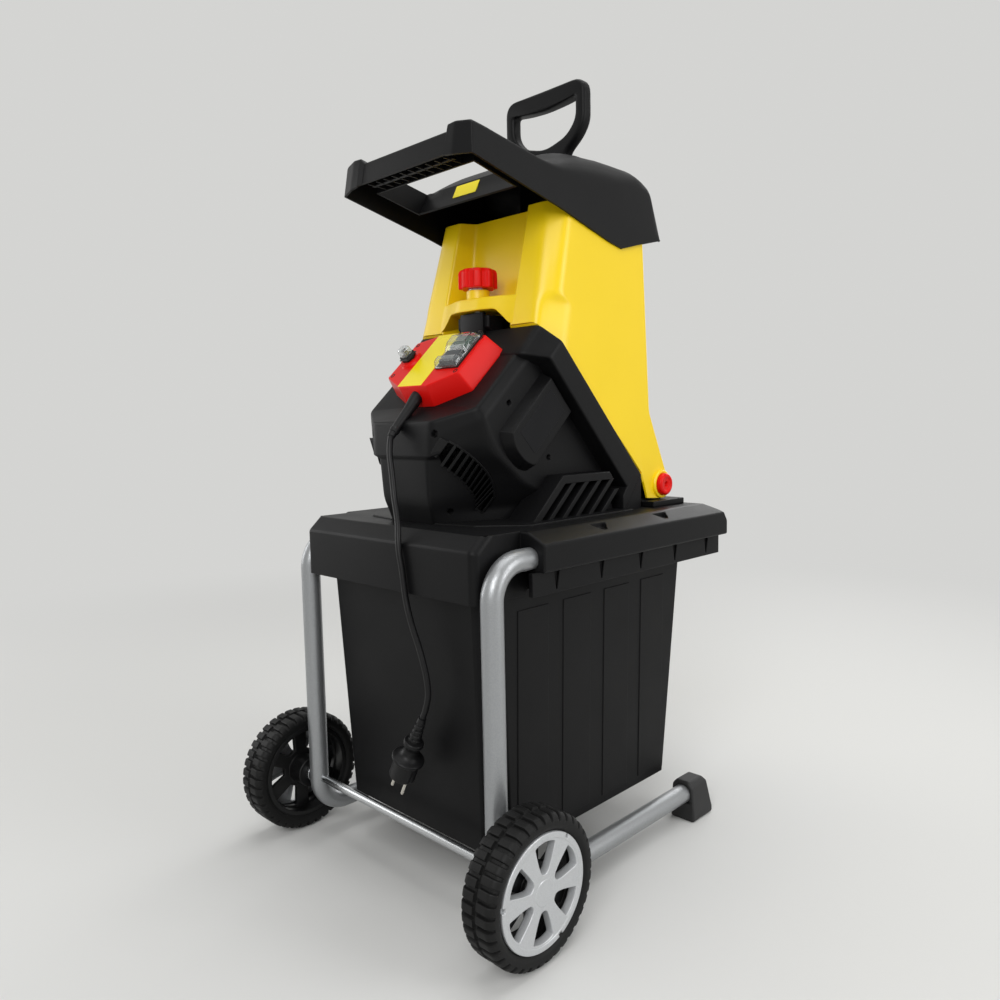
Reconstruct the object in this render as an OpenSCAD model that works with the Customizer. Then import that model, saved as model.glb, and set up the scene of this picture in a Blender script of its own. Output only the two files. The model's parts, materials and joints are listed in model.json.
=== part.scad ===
// Electric garden shredder on a tube frame, with a pull-out bin and a tilting hopper.
// Millimetres, +Z up, +Y towards the front where the bin pulls out, +X the rating-plate side.
// Heights are above the ground. Depths named "ahead" are measured forwards from the axle.

/* [Wheels] */
// Wheel diameter
wheel_d = 180; // [160:2:200]
// Tyre width
wheel_w = 51; // [44:1:56]
// Middle plane of each wheel, from the machine's middle
wheel_x = 245.5; // [242:0.5:260]
// Outside diameter of the rim, inside diameter of the tyre
rim_d = 140; // [126:1:146]
// Diameter of the wheel's hub
hub_d = 44; // [34:1:50]
// Diameter of the axle rod
axle_d = 12; // [10:0.5:14]
// Depth of the tread's cuts
tread_depth = 4; // [2:0.5:6]
// Tread blocks around one row
tread_blocks = 30; // [20:1:36]
// Spokes in the wheel and its cover
spokes = 6; // [5:1:7]
// Thickness of the wheel cover
hubcap_t = 5; // [4:0.5:7]

/* [Frame] */
// Diameter of the frame tubes
tube_d = 28; // [24:1:30]
// Wall of the frame tubes
tube_wall = 1.5; // [1:0.25:3]
// Each tube's plane, from the machine's middle
tube_x = 193; // [192:0.5:196]
// Bend radius on the tube's centre line
bend_r = 45; // [40:1:60]
// Height of the lower run's centre line
run_low = 42; // [36:1:48]
// Height of the upper run's centre line
run_high = 460; // [459:0.5:464]
// End of the upper run, ahead of the axle
run_high_end = 130; // [110:1:160]
// End of the lower run, ahead of the axle
run_low_end = 424; // [400:1:440]

/* [Feet] */
// Width of a foot's base
foot_w = 42; // [38:1:52]
// Length of a foot's base
foot_l = 56; // [48:1:70]
// Rear edge of a foot, ahead of the axle
foot_rear = 408; // [395:1:415]
// Height of a foot
foot_h = 63; // [60:1:70]

/* [Base cover] */
// Half width of the rear skirt
skirt_half = 178; // [170:1:178]
// Rear face of the skirt, ahead of the axle
skirt_rear = -14; // [-20:1:-8]
// Bottom edge of the skirt
skirt_low = 411; // [400:1:425]
// Height where the skirt turns into the deck's bevel
skirt_shoulder = 475; // [465:1:482]
// Height of the deck
deck_z = 493; // [490:1:500]
// Rear edge of the deck, ahead of the axle
deck_rear = 6; // [0:1:12]
// How far a side lip reaches past the bin's rail
lip_reach = 13; // [9:0.5:20]
// Bottom edge of the side lips
lip_low = 444; // [440:1:445]
// Height where a lip turns into its bevel
lip_shoulder = 479; // [476:1:484]
// Width of a lip's bevel
lip_bevel = 28; // [20:1:34]
// Rear end of the lips, ahead of the axle
lip_rear = 66; // [60:1:75]
// Front of the cover, ahead of the axle
lip_front = 497; // [490:1:510]
// Wall of the cover
cover_wall = 3; // [2.5:0.25:4]

/* [Bin] */
// Half width of the bin at its rim
bin_half_top = 172; // [165:1:174]
// Half width of the bin at its floor
bin_half_low = 164; // [155:1:168]
// Rear face at the rim, ahead of the axle
bin_rear_top = 11; // [6:1:20]
// Rear face at the floor, ahead of the axle
bin_rear_low = 29; // [20:1:40]
// Front face at the rim, ahead of the axle
bin_front_top = 441; // [430:1:450]
// Front face at the floor, ahead of the axle
bin_front_low = 404; // [390:1:425]
// Height of the bin's floor underside
bin_low = 74; // [66:1:100]
// Height of the bin's rim
bin_top = 438; // [430:1:439]
// Corner bevel at the bin's rear
bin_corner = 26; // [15:1:40]
// Wall of the bin
bin_wall = 3; // [2:0.25:4]
// Height of the bin's sliding flange above the ground
flange_z = 417.3; // [416:0.1:420]

/* [Bin rails] */
// Distance from the bin's rim to the outer face of its rail
rail_reach = 33; // [31:0.5:38]
// Bottom of the rail
rail_low = 414; // [410:1:414]
// Thickness of the rail's ledge
rail_ledge = 3; // [2:0.25:3]

/* [Motor housing] */
// Slope of the cutting plane, falling towards the front
slope = 47; // [46:0.5:48]
// Place of the housing, hopper and cap: the cutting plane's middle, ahead of the axle
cut_ahead = 278; // [276:1:280]
// Height of the cutting plane's middle
cut_z = 638; // [637:0.5:640]
// Half width of the housing's flanks
flank = 117; // [112:1:120]
// Depth of the collar under the cutting plane
collar_t = 28; // [27:0.5:32]
// Wall of the housing
shell = 3; // [2.5:0.25:4]
// Vent slots on each flank
vents = 13; // [9:1:15]
// Width of one vent slot
vent_w = 3.2; // [2:0.2:4]
// Cooling louvres on each side box
louvres = 6; // [4:1:7]

/* [Cutter and drive] */
// Radius of the cutter disc
disc_r = 100; // [90:1:104]
// Thickness of the cutter disc
disc_t = 5; // [4:0.5:6]
// Diameter of the cutter spindle
spindle_d = 15; // [12:0.5:16]
// Radius of the driven pulley
pulley_r = 42; // [36:1:44]
// Radius of the motor's pulley
pinion_r = 14; // [11:0.5:16]
// Belt width
belt_w = 12; // [10:1:13]
// Belt thickness
belt_t = 2.4; // [1.6:0.2:3]
// Distance from spindle to motor shaft
drive_pitch = 75; // [72:1:80]
// Radius of the motor's armature
armature_r = 28; // [24:1:32]
// Diameter of the motor's shaft
shaft_d = 10; // [8:0.5:12]

/* [Switch box] */
// Height of the switch box above the housing's slope
box_h = 31; // [26:1:36]
// Half width of the switch box at its base
box_half = 85; // [80:1:92]
// Height of the clear flap
flap_h = 13; // [11:0.5:16]

/* [Hopper] */
// Height of the hopper's top rim
hopper_top = 945; // [940:1:950]
// Half width of the hopper's sides at the top
hopper_side_top = 127.5; // [122:0.5:128]
// Half width of the hopper's sides level with the hinge
hopper_side_low = 145.5; // [143:0.5:147]
// Front face of the hopper, ahead of the axle
hopper_front = 397; // [394:0.5:398]
// Wall of the hopper
hopper_wall = 3; // [2.5:0.25:4]
// Half width of the rear niche for the lock knob
niche_half = 67; // [60:1:72]
// Hinge axis, ahead of the axle
hinge_ahead = 422; // [420:0.5:424]
// Height of the hinge axis
hinge_z = 525; // [524:0.5:530]
// Diameter of the hinge pins
hinge_pin_d = 10; // [8:0.5:12]

/* [Lock knob] */
// Depth of the knob's axis, ahead of the axle
knob_ahead = 175; // [173:0.5:177]
// Radius of the knob over its lobes
knob_r = 28; // [24:0.5:30]
// Height of the knob
knob_h = 29; // [24:1:34]
// Lobes around the knob
knob_lobes = 8; // [6:1:10]
// Diameter of the lock screw
lock_screw_d = 10; // [8:0.5:12]

/* [Cap and pusher] */
// How far the cap's flanks reach past the hopper's sides
cap_reach = 6.5; // [6:0.5:12]
// Rear edge of the carry handle, ahead of the axle
cap_rear = 34; // [28:1:44]
// Depth of the carry handle's bar
grip_depth = 48; // [40:1:54]
// Front edge of the cap, ahead of the axle
cap_front = 440; // [436:1:448]
// Height of the hood's flat crown
crown_z = 1006; // [1002:1:1012]
// Wall of the cap
cap_wall = 3; // [2.5:0.25:4]
// Depth of the pusher's middle, ahead of the axle
pusher_ahead = 331; // [325:1:340]
// Height of the pusher's handle above the hood's crown
pusher_rise = 122; // [110:1:134]
// Half width of the pusher's handle
pusher_half = 80; // [72:1:86]
// Thickness of the pusher's handle, front to rear
pusher_t = 20; // [16:1:24]

/* [Mains lead] */
// Cord diameter
cord_d = 8; // [6:0.5:9]
// Flange diameter of the plug
plug_flange_d = 44; // [38:1:46]

/* [Hidden] */
$fn = 64;

// Clearances: running fit of shafts, seat of fixed pieces, air between moving pieces
run_fit = 0.05;
seat_fit = 0.05;
air = 0.3;
wheel_r = wheel_d / 2;
rim_r = rim_d / 2;
hub_r = hub_d / 2;
axle_r = axle_d / 2;
tube_r = tube_d / 2;
shaft_r = shaft_d / 2;
spindle_r = spindle_d / 2;
pin_r = hinge_pin_d / 2;
lock_r = lock_screw_d / 2;
rail_half = bin_half_top + rail_reach;
lip_half = rail_half + lip_reach;
cap_half = hopper_side_top + cap_reach;
deck_half = lip_half - lip_bevel;
pusher_top = crown_z + pusher_rise;
// The upper machine is drawn with the cutting plane's middle here, then moved to its place
drawn_ahead = 278;
top_shift = cut_ahead - drawn_ahead;
// The origin lies under the middle of the footprint
origin_ahead = (lip_front - wheel_r) / 2;
black = "#232325";
yellow = "#f5d90a";
red = "#e0241f";
silver = "#b9bcc0";
steel = "#9fa3a8";

// Places and shapes that several pieces share
module place() translate([0, -origin_ahead, 0]) children();
module place_top() translate([0, top_shift - origin_ahead, 0]) children();
module both_sides() {
    children();
    mirror([1, 0, 0]) children();
}
// A profile of depth and height, drawn out sideways from x0 to x1
module along_x(x0, x1) translate([x0, 0, 0]) rotate([90, 0, 90]) linear_extrude(x1 - x0) children();
// A profile of width and height, drawn out in depth from y0 to y1
module along_y(y0, y1) translate([0, y1, 0]) rotate([90, 0, 0]) linear_extrude(y1 - y0) children();
module rod_x(x0, x1, r) translate([x0, 0, 0]) rotate([0, 90, 0]) cylinder(h = x1 - x0, r = r);
// Solid with flat faces round a set of corner points
module convex(points) hull() polyhedron(points = points, faces = [[for (i = [0:len(points) - 1]) i]]);
function mirrored(points) = concat(points, [for (p = points) [-p[0], p[1], p[2]]]);
function inward(points, middle, d) = [for (p = points) p + (middle - p) / norm(middle - p) * d];
// Frame of the cutting plane: u runs down the slope to the front, w out of it
function at(x, u, w) = [
    x, drawn_ahead + u * cos(slope) + w * sin(slope), cut_z - u * sin(slope) + w * cos(slope)];
module tilted() translate([0, drawn_ahead, cut_z]) rotate([-slope, 0, 0]) children();
// Local +Z turned to run from one point to another
module aim(from, to) {
    d = to - from;
    translate(from) rotate([0, acos(d[2] / norm(d)), atan2(d[1], d[0])]) children();
}

// Frame tubes, axle, feet
module tube_sweep(r, over) {
    leg_h = run_high - run_low - 2 * bend_r;
    translate([0, bend_r, run_high]) rotate([-90, 0, 0]) cylinder(h = run_high_end - bend_r + over, r = r);
    tube_bend(run_high - bend_r, 90, r);
    translate([0, 0, run_low + bend_r]) cylinder(h = leg_h, r = r);
    tube_bend(run_low + bend_r, 180, r);
    translate([0, bend_r, run_low]) rotate([-90, 0, 0]) cylinder(h = run_low_end - bend_r + over, r = r);
}
module tube_bend(z, start, r) translate([0, bend_r, z]) rotate([90, 0, 90]) rotate([0, 0, start])
    rotate_extrude(angle = 90) translate([bend_r, 0]) circle(r = r);
module frame_tube(side) color(silver) translate([side * tube_x, 0, 0]) difference() {
    tube_sweep(tube_r, 0);
    tube_sweep(tube_r - tube_wall, 1);
    translate([0, 0, wheel_r]) rod_x(-tube_d, tube_d, axle_r + seat_fit);
}
// The axle stops short of the wheel covers
nut_t = 2.5;
nut_gap = 12;
axle_end = wheel_x + nut_gap + nut_t + 1.5;
module axle() color(steel) translate([0, 0, wheel_r]) rod_x(-axle_end, axle_end, axle_r);
// Spacers between tube and hub, and push nuts outside the hub
hub_in = 31;
module axle_washers() color(steel) translate([0, 0, wheel_r]) both_sides() difference() {
    union() {
        rod_x(tube_x + tube_r + air, wheel_x - hub_in - air, axle_r + 5);
        rod_x(wheel_x + nut_gap + air, wheel_x + nut_gap + nut_t, axle_r + 4);
    }
    rod_x(0, axle_end + 1, axle_r + seat_fit);
}
foot_top_w = tube_d + 8;
module foot(side) color(black) translate([side * tube_x, 0, 0]) difference() {
    convex(mirrored([
        [foot_w / 2, foot_rear, 0], [foot_w / 2, foot_rear + foot_l, 0],
        [foot_w / 2, foot_rear, 10], [foot_w / 2, foot_rear + foot_l, 10],
        [foot_top_w / 2, foot_rear, foot_h - 8], [foot_top_w / 2, foot_rear + foot_l - 12, foot_h - 8],
        [foot_top_w / 2 - 7, foot_rear, foot_h], [foot_top_w / 2 - 7, foot_rear + foot_l - 18, foot_h]]));
    translate([0, foot_rear - 1, run_low]) rotate([-90, 0, 0])
        cylinder(h = run_low_end - foot_rear + 1 + seat_fit, r = tube_r + seat_fit);
}

// Wheels: local +Z points outwards
module wheel_side(side) translate([side * wheel_x, 0, wheel_r]) rotate([0, side * 90, 0]) children();
module tyre() color(black) difference() {
    rotate_extrude() polygon([
        [rim_r, -wheel_w / 2 + 4], [rim_r + 6, -wheel_w / 2], [wheel_r - 5, -wheel_w / 2],
        [wheel_r, -wheel_w / 2 + 6], [wheel_r, wheel_w / 2 - 6], [wheel_r - 5, wheel_w / 2],
        [rim_r + 6, wheel_w / 2], [rim_r, wheel_w / 2 - 4]]);
    rotate_extrude() translate([wheel_r - tread_depth, -2]) square([tread_depth + 1, 4]);
    for (i = [0:tread_blocks - 1], row = [0, 1])
        rotate([0, 0, (i + row / 2) * 360 / tread_blocks])
            translate([wheel_r - tread_depth, -2.5, row == 0 ? 1 : -wheel_w / 2 - 1])
                cube([tread_depth + 1, 5, wheel_w / 2]);
}
rim_wall = 7;
cover_face = wheel_w / 2 - hubcap_t - 1;
module spoke_windows(h) for (i = [0:spokes - 1]) rotate([0, 0, (i + 0.5) * 360 / spokes])
    linear_extrude(h) polygon([
        [hub_r + 8, -6], [hub_r + 8, 6], [rim_r - rim_wall - 6, 20],
        [rim_r - rim_wall - 1, 0], [rim_r - rim_wall - 6, -20]]);
module wheel_core() color(black) difference() {
    union() {
        difference() {
            translate([0, 0, -wheel_w / 2 + 4])
                cylinder(h = wheel_w / 2 - 4 + cover_face, r = rim_r - seat_fit);
            translate([0, 0, -wheel_w / 2 + 3]) cylinder(h = wheel_w, r = rim_r - rim_wall);
        }
        translate([0, 0, -2]) difference() {
            cylinder(h = 8, r = rim_r - rim_wall + 1);
            translate([0, 0, -1]) spoke_windows(10);
        }
        translate([0, 0, -hub_in]) cylinder(h = hub_in + nut_gap, r = hub_r);
    }
    translate([0, 0, -hub_in - 1]) cylinder(h = 2 * hub_in + nut_gap, r = axle_r + run_fit);
}
module hubcap() color(silver) translate([0, 0, cover_face]) difference() {
    union() {
        cylinder(h = hubcap_t, r = rim_r - 0.5);
        cylinder(h = hubcap_t + 1, r = hub_r);
    }
    translate([0, 0, -1]) spoke_windows(hubcap_t + 2);
}

// Base cover: rear skirt, deck with side lips, tube sockets
module cover_rear(i) along_x(-skirt_half + i, skirt_half - i) polygon([
    [skirt_rear + i, skirt_low - i], [skirt_rear + i, skirt_shoulder], [deck_rear + i, deck_z - i],
    [lip_rear + 10, deck_z - i], [lip_rear + 10, skirt_low - i]]);
module cover_lip(i) intersection() {
    along_y(lip_rear + i, lip_front - i) polygon([
        [-lip_half + i, lip_low - i], [-lip_half + i, lip_shoulder - i / 2], [-deck_half, deck_z - i],
        [deck_half, deck_z - i], [lip_half - i, lip_shoulder - i / 2], [lip_half - i, lip_low - i]]);
    along_x(-lip_half, lip_half) polygon([
        [lip_rear, lip_low - cover_wall], [lip_rear, deck_z], [lip_front - 27 - i, deck_z],
        [lip_front - 12 - i, deck_z - 9], [lip_front - i, deck_z - 26],
        [lip_front - i, lip_low - cover_wall]]);
}
discharge_half = 70;
discharge_y = [264, 350];
// Small pockets in the lips' bevels, each with a block behind it
lip_pockets = [197, 341];
module lip_blocks() intersection() {
    cover_lip(0);
    both_sides() for (y = lip_pockets) translate([deck_half - 2, y - 22, deck_z - 22]) cube([26, 44, 22]);
}
module lip_pocket_cuts() both_sides() for (y = lip_pockets) translate([deck_half + 5, y, deck_z - 10])
    linear_extrude(20) polygon([[0, -16], [0, 16], [16, 2], [16, -2]]);
module base_cover() color(black) difference() {
    union() {
        difference() {
            union() {
                cover_rear(0);
                cover_lip(0);
            }
            cover_rear(cover_wall);
            cover_lip(cover_wall);
        }
        // Sockets that hold the frame tubes, and ledges over the bin rails
        both_sides() translate([skirt_half - 8, lip_rear, lip_low])
            cube([lip_half - skirt_half + 7, run_high_end - lip_rear, lip_shoulder - lip_low]);
        both_sides() translate([rail_half - 9, lip_rear, lip_low])
            cube([lip_half - rail_half + 8, lip_front - lip_rear - 2, cover_wall]);
        lip_blocks();
    }
    lip_pocket_cuts();
    both_sides() translate([tube_x, 0, run_high]) rotate([-90, 0, 0])
        cylinder(h = run_high_end + 1, r = tube_r + seat_fit);
    translate([-discharge_half, discharge_y[0] + top_shift, deck_z - cover_wall - 1])
        cube([2 * discharge_half, discharge_y[1] - discharge_y[0], cover_wall + 2]);
}

// Bin rails under the lips, with triangular pockets in their outer faces
rail_wall = 7;
rail_y = [58, lip_front - 3];
rail_pockets = [103, 194, 283, 369, 456];
ledge_room = 6;
ledge_in = bin_half_top + ledge_room;
ledge_y = [lip_rear + 14, lip_front - 27];
module bin_rail() color(black) difference() {
    union() {
        translate([rail_half - rail_wall, rail_y[0], rail_low])
            cube([rail_wall, rail_y[1] - rail_y[0], lip_low - rail_low]);
        translate([ledge_in, ledge_y[0], rail_low])
            cube([rail_half - ledge_in - 1, ledge_y[1] - ledge_y[0], rail_ledge]);
    }
    for (y = rail_pockets) along_x(rail_half - 4, rail_half + 1)
        polygon([[y - 6, lip_low + 1], [y + 6, lip_low + 1], [y + 1, rail_low + 4], [y - 1, rail_low + 4]]);
}

// Bin: tapered tub with sliding flanges, side panels and a finger pull
function bin_ring(half, rear, front, z) = mirrored([
    [half - bin_corner, rear, z], [half, rear + bin_corner, z],
    [half, front - 8, z], [half - 8, front, z]]);
module bin_tub(i, over) convex(concat(
    bin_ring(bin_half_low - i, bin_rear_low + i, bin_front_low - i, bin_low + i),
    bin_ring(bin_half_top - i, bin_rear_top + i, bin_front_top - i, bin_top + over)));
bin_draft = atan2(bin_half_top - bin_half_low, bin_top - bin_low);
panel_y = [66, 154, 242, 330];
panel_w = 58;
flange_t = 3;
module bin() color(black) union() {
    difference() {
        bin_tub(0, 0);
        bin_tub(bin_wall, 1);
    }
    both_sides() {
        translate([bin_half_top - 3, lip_rear + 18, flange_z])
            cube([rail_half - rail_wall - 1 - bin_half_top + 3, bin_front_top - lip_rear - 26, flange_t]);
        for (y = panel_y) translate([bin_half_low - 1.5, y, bin_low + 14]) rotate([0, bin_draft, 0])
            cube([3, panel_w, flange_z - bin_low - 40]);
    }
    // Finger pull at the front
    translate([-80, bin_front_top - 2, bin_top - 6]) cube([160, 30, 5]);
    translate([-80, bin_front_top + 24, bin_top - 26]) cube([160, 4, 25]);
}

// Motor housing: two clamshell halves
slope_u = -154;
deck_seat = deck_z;
function tail_points() = [
    [62, 26, 629], at(flank - 1, slope_u, -155), at(flank - 1, slope_u, -8),
    [60, 24.5, 583], [flank, 59, 569], [flank, 81, 527], [95, 69, 504],
    [84, 61, deck_seat], [104, 90, deck_seat], [flank, 339, 531], [flank, 345, deck_seat]];
tail_middle = [0, 200, 600];
collar_end = 131;
function collar(i) = [
    [-122 + i * 0.7, -160 + i], [122 - i * 0.7, -160 + i], [145 - i, -130 + i * 0.4],
    [147 - i, collar_end - i], [-147 + i, collar_end - i], [-145 + i, -130 + i * 0.4]];
side_box = 147;
module side_box_profile(i) polygon([
    [124 + 3 * i, deck_seat + i], [185 + i / 2, 549.5 - i], [290 - i / 2, 549 - i], [300 - i, 541 - i / 2],
    [322 - i, deck_seat + i]]);
module front_block_profile(i) polygon([
    [330 - 2 * i, deck_seat + i], [330 - 2 * i, 515 - i], [366 - i, 541 - i], [366 - i, deck_seat + i]]);
bulge_u = -71;
bulge_half = 31;
bulge_x = 135;
module bulge_profile(i) intersection() {
    translate([bulge_u - bulge_half + i, -160]) square([2 * (bulge_half - i), 118 - i]);
    union() {
        translate([bulge_u - bulge_half, -97]) square([2 * bulge_half, 60]);
        translate([bulge_u, -97]) circle(r = 60 - i);
    }
}
// Screw bosses that join the halves, as places on the cutting plane's frame
boss_places = [[-134, -105], [-19, -110], [-28, -203], [-143, -41]];
boss_r = 6;
screw_r = 2.1;
head_in = 8;
vent_from = -42;
vent_to = 14;
// Everything above the slope face, where the switch box stands
module above_slope(i) tilted() translate([-200, slope_u + i - 100, -155 - i]) cube([400, 100, 200]);
module housing_outside() {
    difference() {
        convex(mirrored(tail_points()));
        above_slope(0);
    }
    tilted() translate([0, 0, -collar_t]) linear_extrude(collar_t) polygon(collar(0));
    along_x(-side_box, side_box) side_box_profile(0);
    along_x(-side_box, side_box) front_block_profile(0);
    tilted() along_x(-bulge_x, bulge_x) bulge_profile(0);
}
module housing_inside() {
    difference() {
        convex(inward(mirrored(tail_points()), tail_middle, shell * 1.7));
        above_slope(shell);
    }
    tilted() translate([0, 0, -collar_t + shell]) linear_extrude(collar_t) polygon(collar(shell));
    along_x(-side_box + shell, side_box - shell) side_box_profile(shell);
    along_x(-side_box + shell, side_box - shell) front_block_profile(shell);
    tilted() along_x(-bulge_x + shell, bulge_x - shell) bulge_profile(shell);
}
louvre_pitch = 22;
module housing_body() difference() {
    union() {
        difference() {
            housing_outside();
            housing_inside();
        }
        tilted() for (b = boss_places) translate([0, b[0], b[1]]) rod_x(-flank + 1, flank - 1, boss_r);
    }
    // Screw bores with sunk heads on the rating-plate side
    tilted() for (b = boss_places) translate([0, b[0], b[1]]) {
        rod_x(-20, flank, screw_r + seat_fit);
        rod_x(flank - head_in, flank + 2, 2 * screw_r + seat_fit);
    }
    // Fan of vent slots round the motor's tail, and slanted louvres in the side boxes
    both_sides() tilted() translate([0, -drive_pitch, 0]) for (i = [0:vents - 1])
        rotate([0, 0, vent_from + i * (vent_to - vent_from) / (vents - 1)])
            translate([92, -vent_w / 2, -245]) cube([40, vent_w, 40]);
    both_sides() for (i = [0:louvres - 1]) along_x(side_box - shell - 1, side_box + 1)
        translate([140 + i * louvre_pitch, 0])
            polygon([[0, 504], [7, 504], [42, 541], [35, 541]]);
    // Groove for the cord's sleeve in the edge under the box
    aim(gland_from, gland_to) cylinder(h = norm(gland_to - gland_from) + 10, r = gland_r[0] - 0.8);
    // Way down for the chips
    translate([-discharge_half, discharge_y[0], deck_z - 1])
        cube([2 * discharge_half, discharge_y[1] - discharge_y[0], 40]);
}
module housing_half(side) color(black) intersection() {
    housing_body();
    translate([side > 0 ? 0 : -300, 0, 300]) cube([300, 600, 600]);
}
module housing_screws() color(steel) tilted() for (b = boss_places) translate([0, b[0], b[1]]) {
    rod_x(-19, flank - head_in, screw_r);
    rod_x(flank - head_in, flank - head_in + 3, 2 * screw_r);
}

// Lock bracket: a fork, open to the front, that takes the lock screw
bracket_half = 32;
bracket_y = [knob_ahead - 11, knob_ahead + 17];
bracket_top = 777;
function cut_height(y) = cut_z - (y - drawn_ahead) * tan(slope);
module lock_bracket() color(black) difference() {
    along_x(-bracket_half, bracket_half) polygon([
        [bracket_y[0], cut_height(bracket_y[0])], [bracket_y[0], bracket_top],
        [bracket_y[1], bracket_top], [bracket_y[1], cut_height(bracket_y[1])]]);
    slot_half = lock_r + 0.6;
    translate([0, knob_ahead, bracket_top - 60]) cylinder(h = 61, r = slot_half);
    translate([-slot_half, knob_ahead, bracket_top - 60]) cube([2 * slot_half, 40, 61]);
}
module safety_switch() color("#3a3f45") tilted()
    translate([-14, -160 + shell, plate_w + plate_t]) cube([28, 10, 12]);

// Cutter drive, all on the cutting plane's frame
plate_w = -collar_t + shell;
plate_t = 8;
boss_low = plate_w - 21;
bearing_r = 16;
bearing_h = 9;
seat_top = plate_w + plate_t - 2;
pulley_w = boss_low - 2;
pulley_t = belt_w + 2;
pillar_top = plate_w;
bracket_w = pulley_w - pulley_t - 8;
bracket_t = 8;
stator_w = bracket_w - bracket_t - 14;
stator_t = 50;
tail_w = stator_w - stator_t - 18;
motor_bearing_r = 11;
motor_bearing_h = 7;
module on_motor() tilted() translate([0, -drive_pitch, 0]) children();
module disc_at(w, t, r) translate([0, 0, w - t]) cylinder(h = t, r = r);
module bearing_plate() color("#8d9196") tilted() difference() {
    union() {
        translate([0, 0, plate_w]) linear_extrude(plate_t) polygon(collar(shell + 0.2));
        disc_at(plate_w + 1, plate_w + 1 - boss_low, bearing_r + 8);
        for (x = [-44, 44], u = [-20, 20]) translate([x, -drive_pitch + u, 0])
            disc_at(pillar_top, pillar_top - bracket_w, 5);
    }
    disc_at(plate_w + plate_t + 1, 60, bearing_r - 5);
    disc_at(plate_w + plate_t + 1, plate_w + plate_t + 1 - seat_top + bearing_h, bearing_r + seat_fit);
    disc_at(boss_low + bearing_h, bearing_h + 1, bearing_r + seat_fit);
    translate([-60, 72, plate_w - 1]) cube([120, collar_end - shell - 80, plate_t + 2]);
}
module spindle_bearings() color(steel) tilted() difference() {
    union() {
        disc_at(seat_top, bearing_h, bearing_r);
        disc_at(boss_low + bearing_h, bearing_h, bearing_r);
    }
    disc_at(0, 100, spindle_r + run_fit);
}
disc_low = plate_w + plate_t + 5;
spindle_low = pulley_w - pulley_t - 2;
bolt_r = 4;
module spindle() color(steel) tilted() difference() {
    union() {
        disc_at(disc_low, disc_low - spindle_low, spindle_r);
        disc_at(disc_low, 4.5, bearing_r);
    }
    disc_at(disc_low + 1, 21, bolt_r + seat_fit);
}
knife_l = 50;
knife_w = 28;
knife_t = 3;
knife_in = disc_r - knife_l - 6;
knife_screw_r = 2.5;
knife_holes = [knife_in + 11, knife_in + knife_l - 11];
module at_knives() for (a = [0, 180]) rotate([0, 0, a]) children();
module blade_disc() color("#b5b8bb") tilted() difference() {
    disc_at(disc_low + disc_t, disc_t, disc_r);
    disc_at(disc_low + disc_t + 1, disc_t + 2, bolt_r + seat_fit);
    at_knives() {
        for (x = knife_holes) translate([x, 0, 0])
            disc_at(disc_low + disc_t + 1, disc_t + 2, knife_screw_r + seat_fit);
        translate([knife_in, knife_w / 2 + 2, disc_low - 1]) cube([knife_l, 14, disc_t + 2]);
    }
}
module knives() color("#d2d4d6") tilted() at_knives() difference() {
    translate([knife_in, -knife_w / 2, disc_low + disc_t]) cube([knife_l, knife_w, knife_t]);
    for (x = knife_holes) translate([x, 0, 0])
        disc_at(disc_low + disc_t + knife_t + 1, knife_t + 2, knife_screw_r + seat_fit);
}
module knife_screws() color(steel) tilted() {
    at_knives() for (x = knife_holes) translate([x, 0, 0]) {
        disc_at(disc_low + disc_t + knife_t + 2.5, 2.5, 2 * knife_screw_r);
        disc_at(disc_low + disc_t + knife_t, disc_t + knife_t, knife_screw_r);
    }
    disc_at(disc_low + disc_t + 5, 5, bolt_r + 5);
    disc_at(disc_low + disc_t, 24, bolt_r);
}
module driven_pulley() color("#4a4d50") tilted() difference() {
    disc_at(pulley_w, pulley_t, pulley_r);
    disc_at(pulley_w + 1, pulley_t + 2, spindle_r + seat_fit);
}
module drive_pulley() color("#4a4d50") on_motor() difference() {
    disc_at(pulley_w, pulley_t, pinion_r);
    disc_at(pulley_w + 1, pulley_t + 2, shaft_r + seat_fit);
}
module belt_loop(r) hull() {
    circle(r = pulley_r + r);
    translate([0, -drive_pitch]) circle(r = pinion_r + r);
}
module drive_belt() color("#1b1b1c") tilted() translate([0, 0, pulley_w - pulley_t + 1])
    linear_extrude(belt_w) difference() {
        belt_loop(air + belt_t, $fn = 96);
        belt_loop(air, $fn = 96);
    }
module motor_stator() color("#7b5a3c") on_motor() difference() {
    translate([-48, -42, stator_w - stator_t]) cube([96, 84, stator_t]);
    disc_at(stator_w + 1, stator_t + 2, armature_r + 0.6);
}
module motor_brackets() color("#9a9da1") on_motor() difference() {
    union() {
        translate([-50, -45, bracket_w - bracket_t]) cube([100, 90, bracket_t]);
        for (x = [-42, 42], u = [-36, 36]) translate([x, u, 0]) {
            disc_at(bracket_w - bracket_t, bracket_w - bracket_t - stator_w, 4);
            disc_at(stator_w - stator_t, stator_w - stator_t - tail_w, 4);
        }
        translate([-50, -45, tail_w - bracket_t]) cube([100, 90, bracket_t]);
    }
    disc_at(bracket_w + 1, 200, shaft_r + 3);
    disc_at(bracket_w + 1, motor_bearing_h + 1.5, motor_bearing_r + seat_fit);
    disc_at(tail_w + 1, motor_bearing_h + 1.5, motor_bearing_r + seat_fit);
}
module motor_bearings() color(steel) on_motor() difference() {
    union() {
        disc_at(bracket_w - 0.5 + seat_fit, motor_bearing_h, motor_bearing_r);
        disc_at(tail_w - 0.5 + seat_fit, motor_bearing_h, motor_bearing_r);
    }
    disc_at(0, 300, shaft_r + run_fit);
}
commutator_r = 14;
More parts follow.
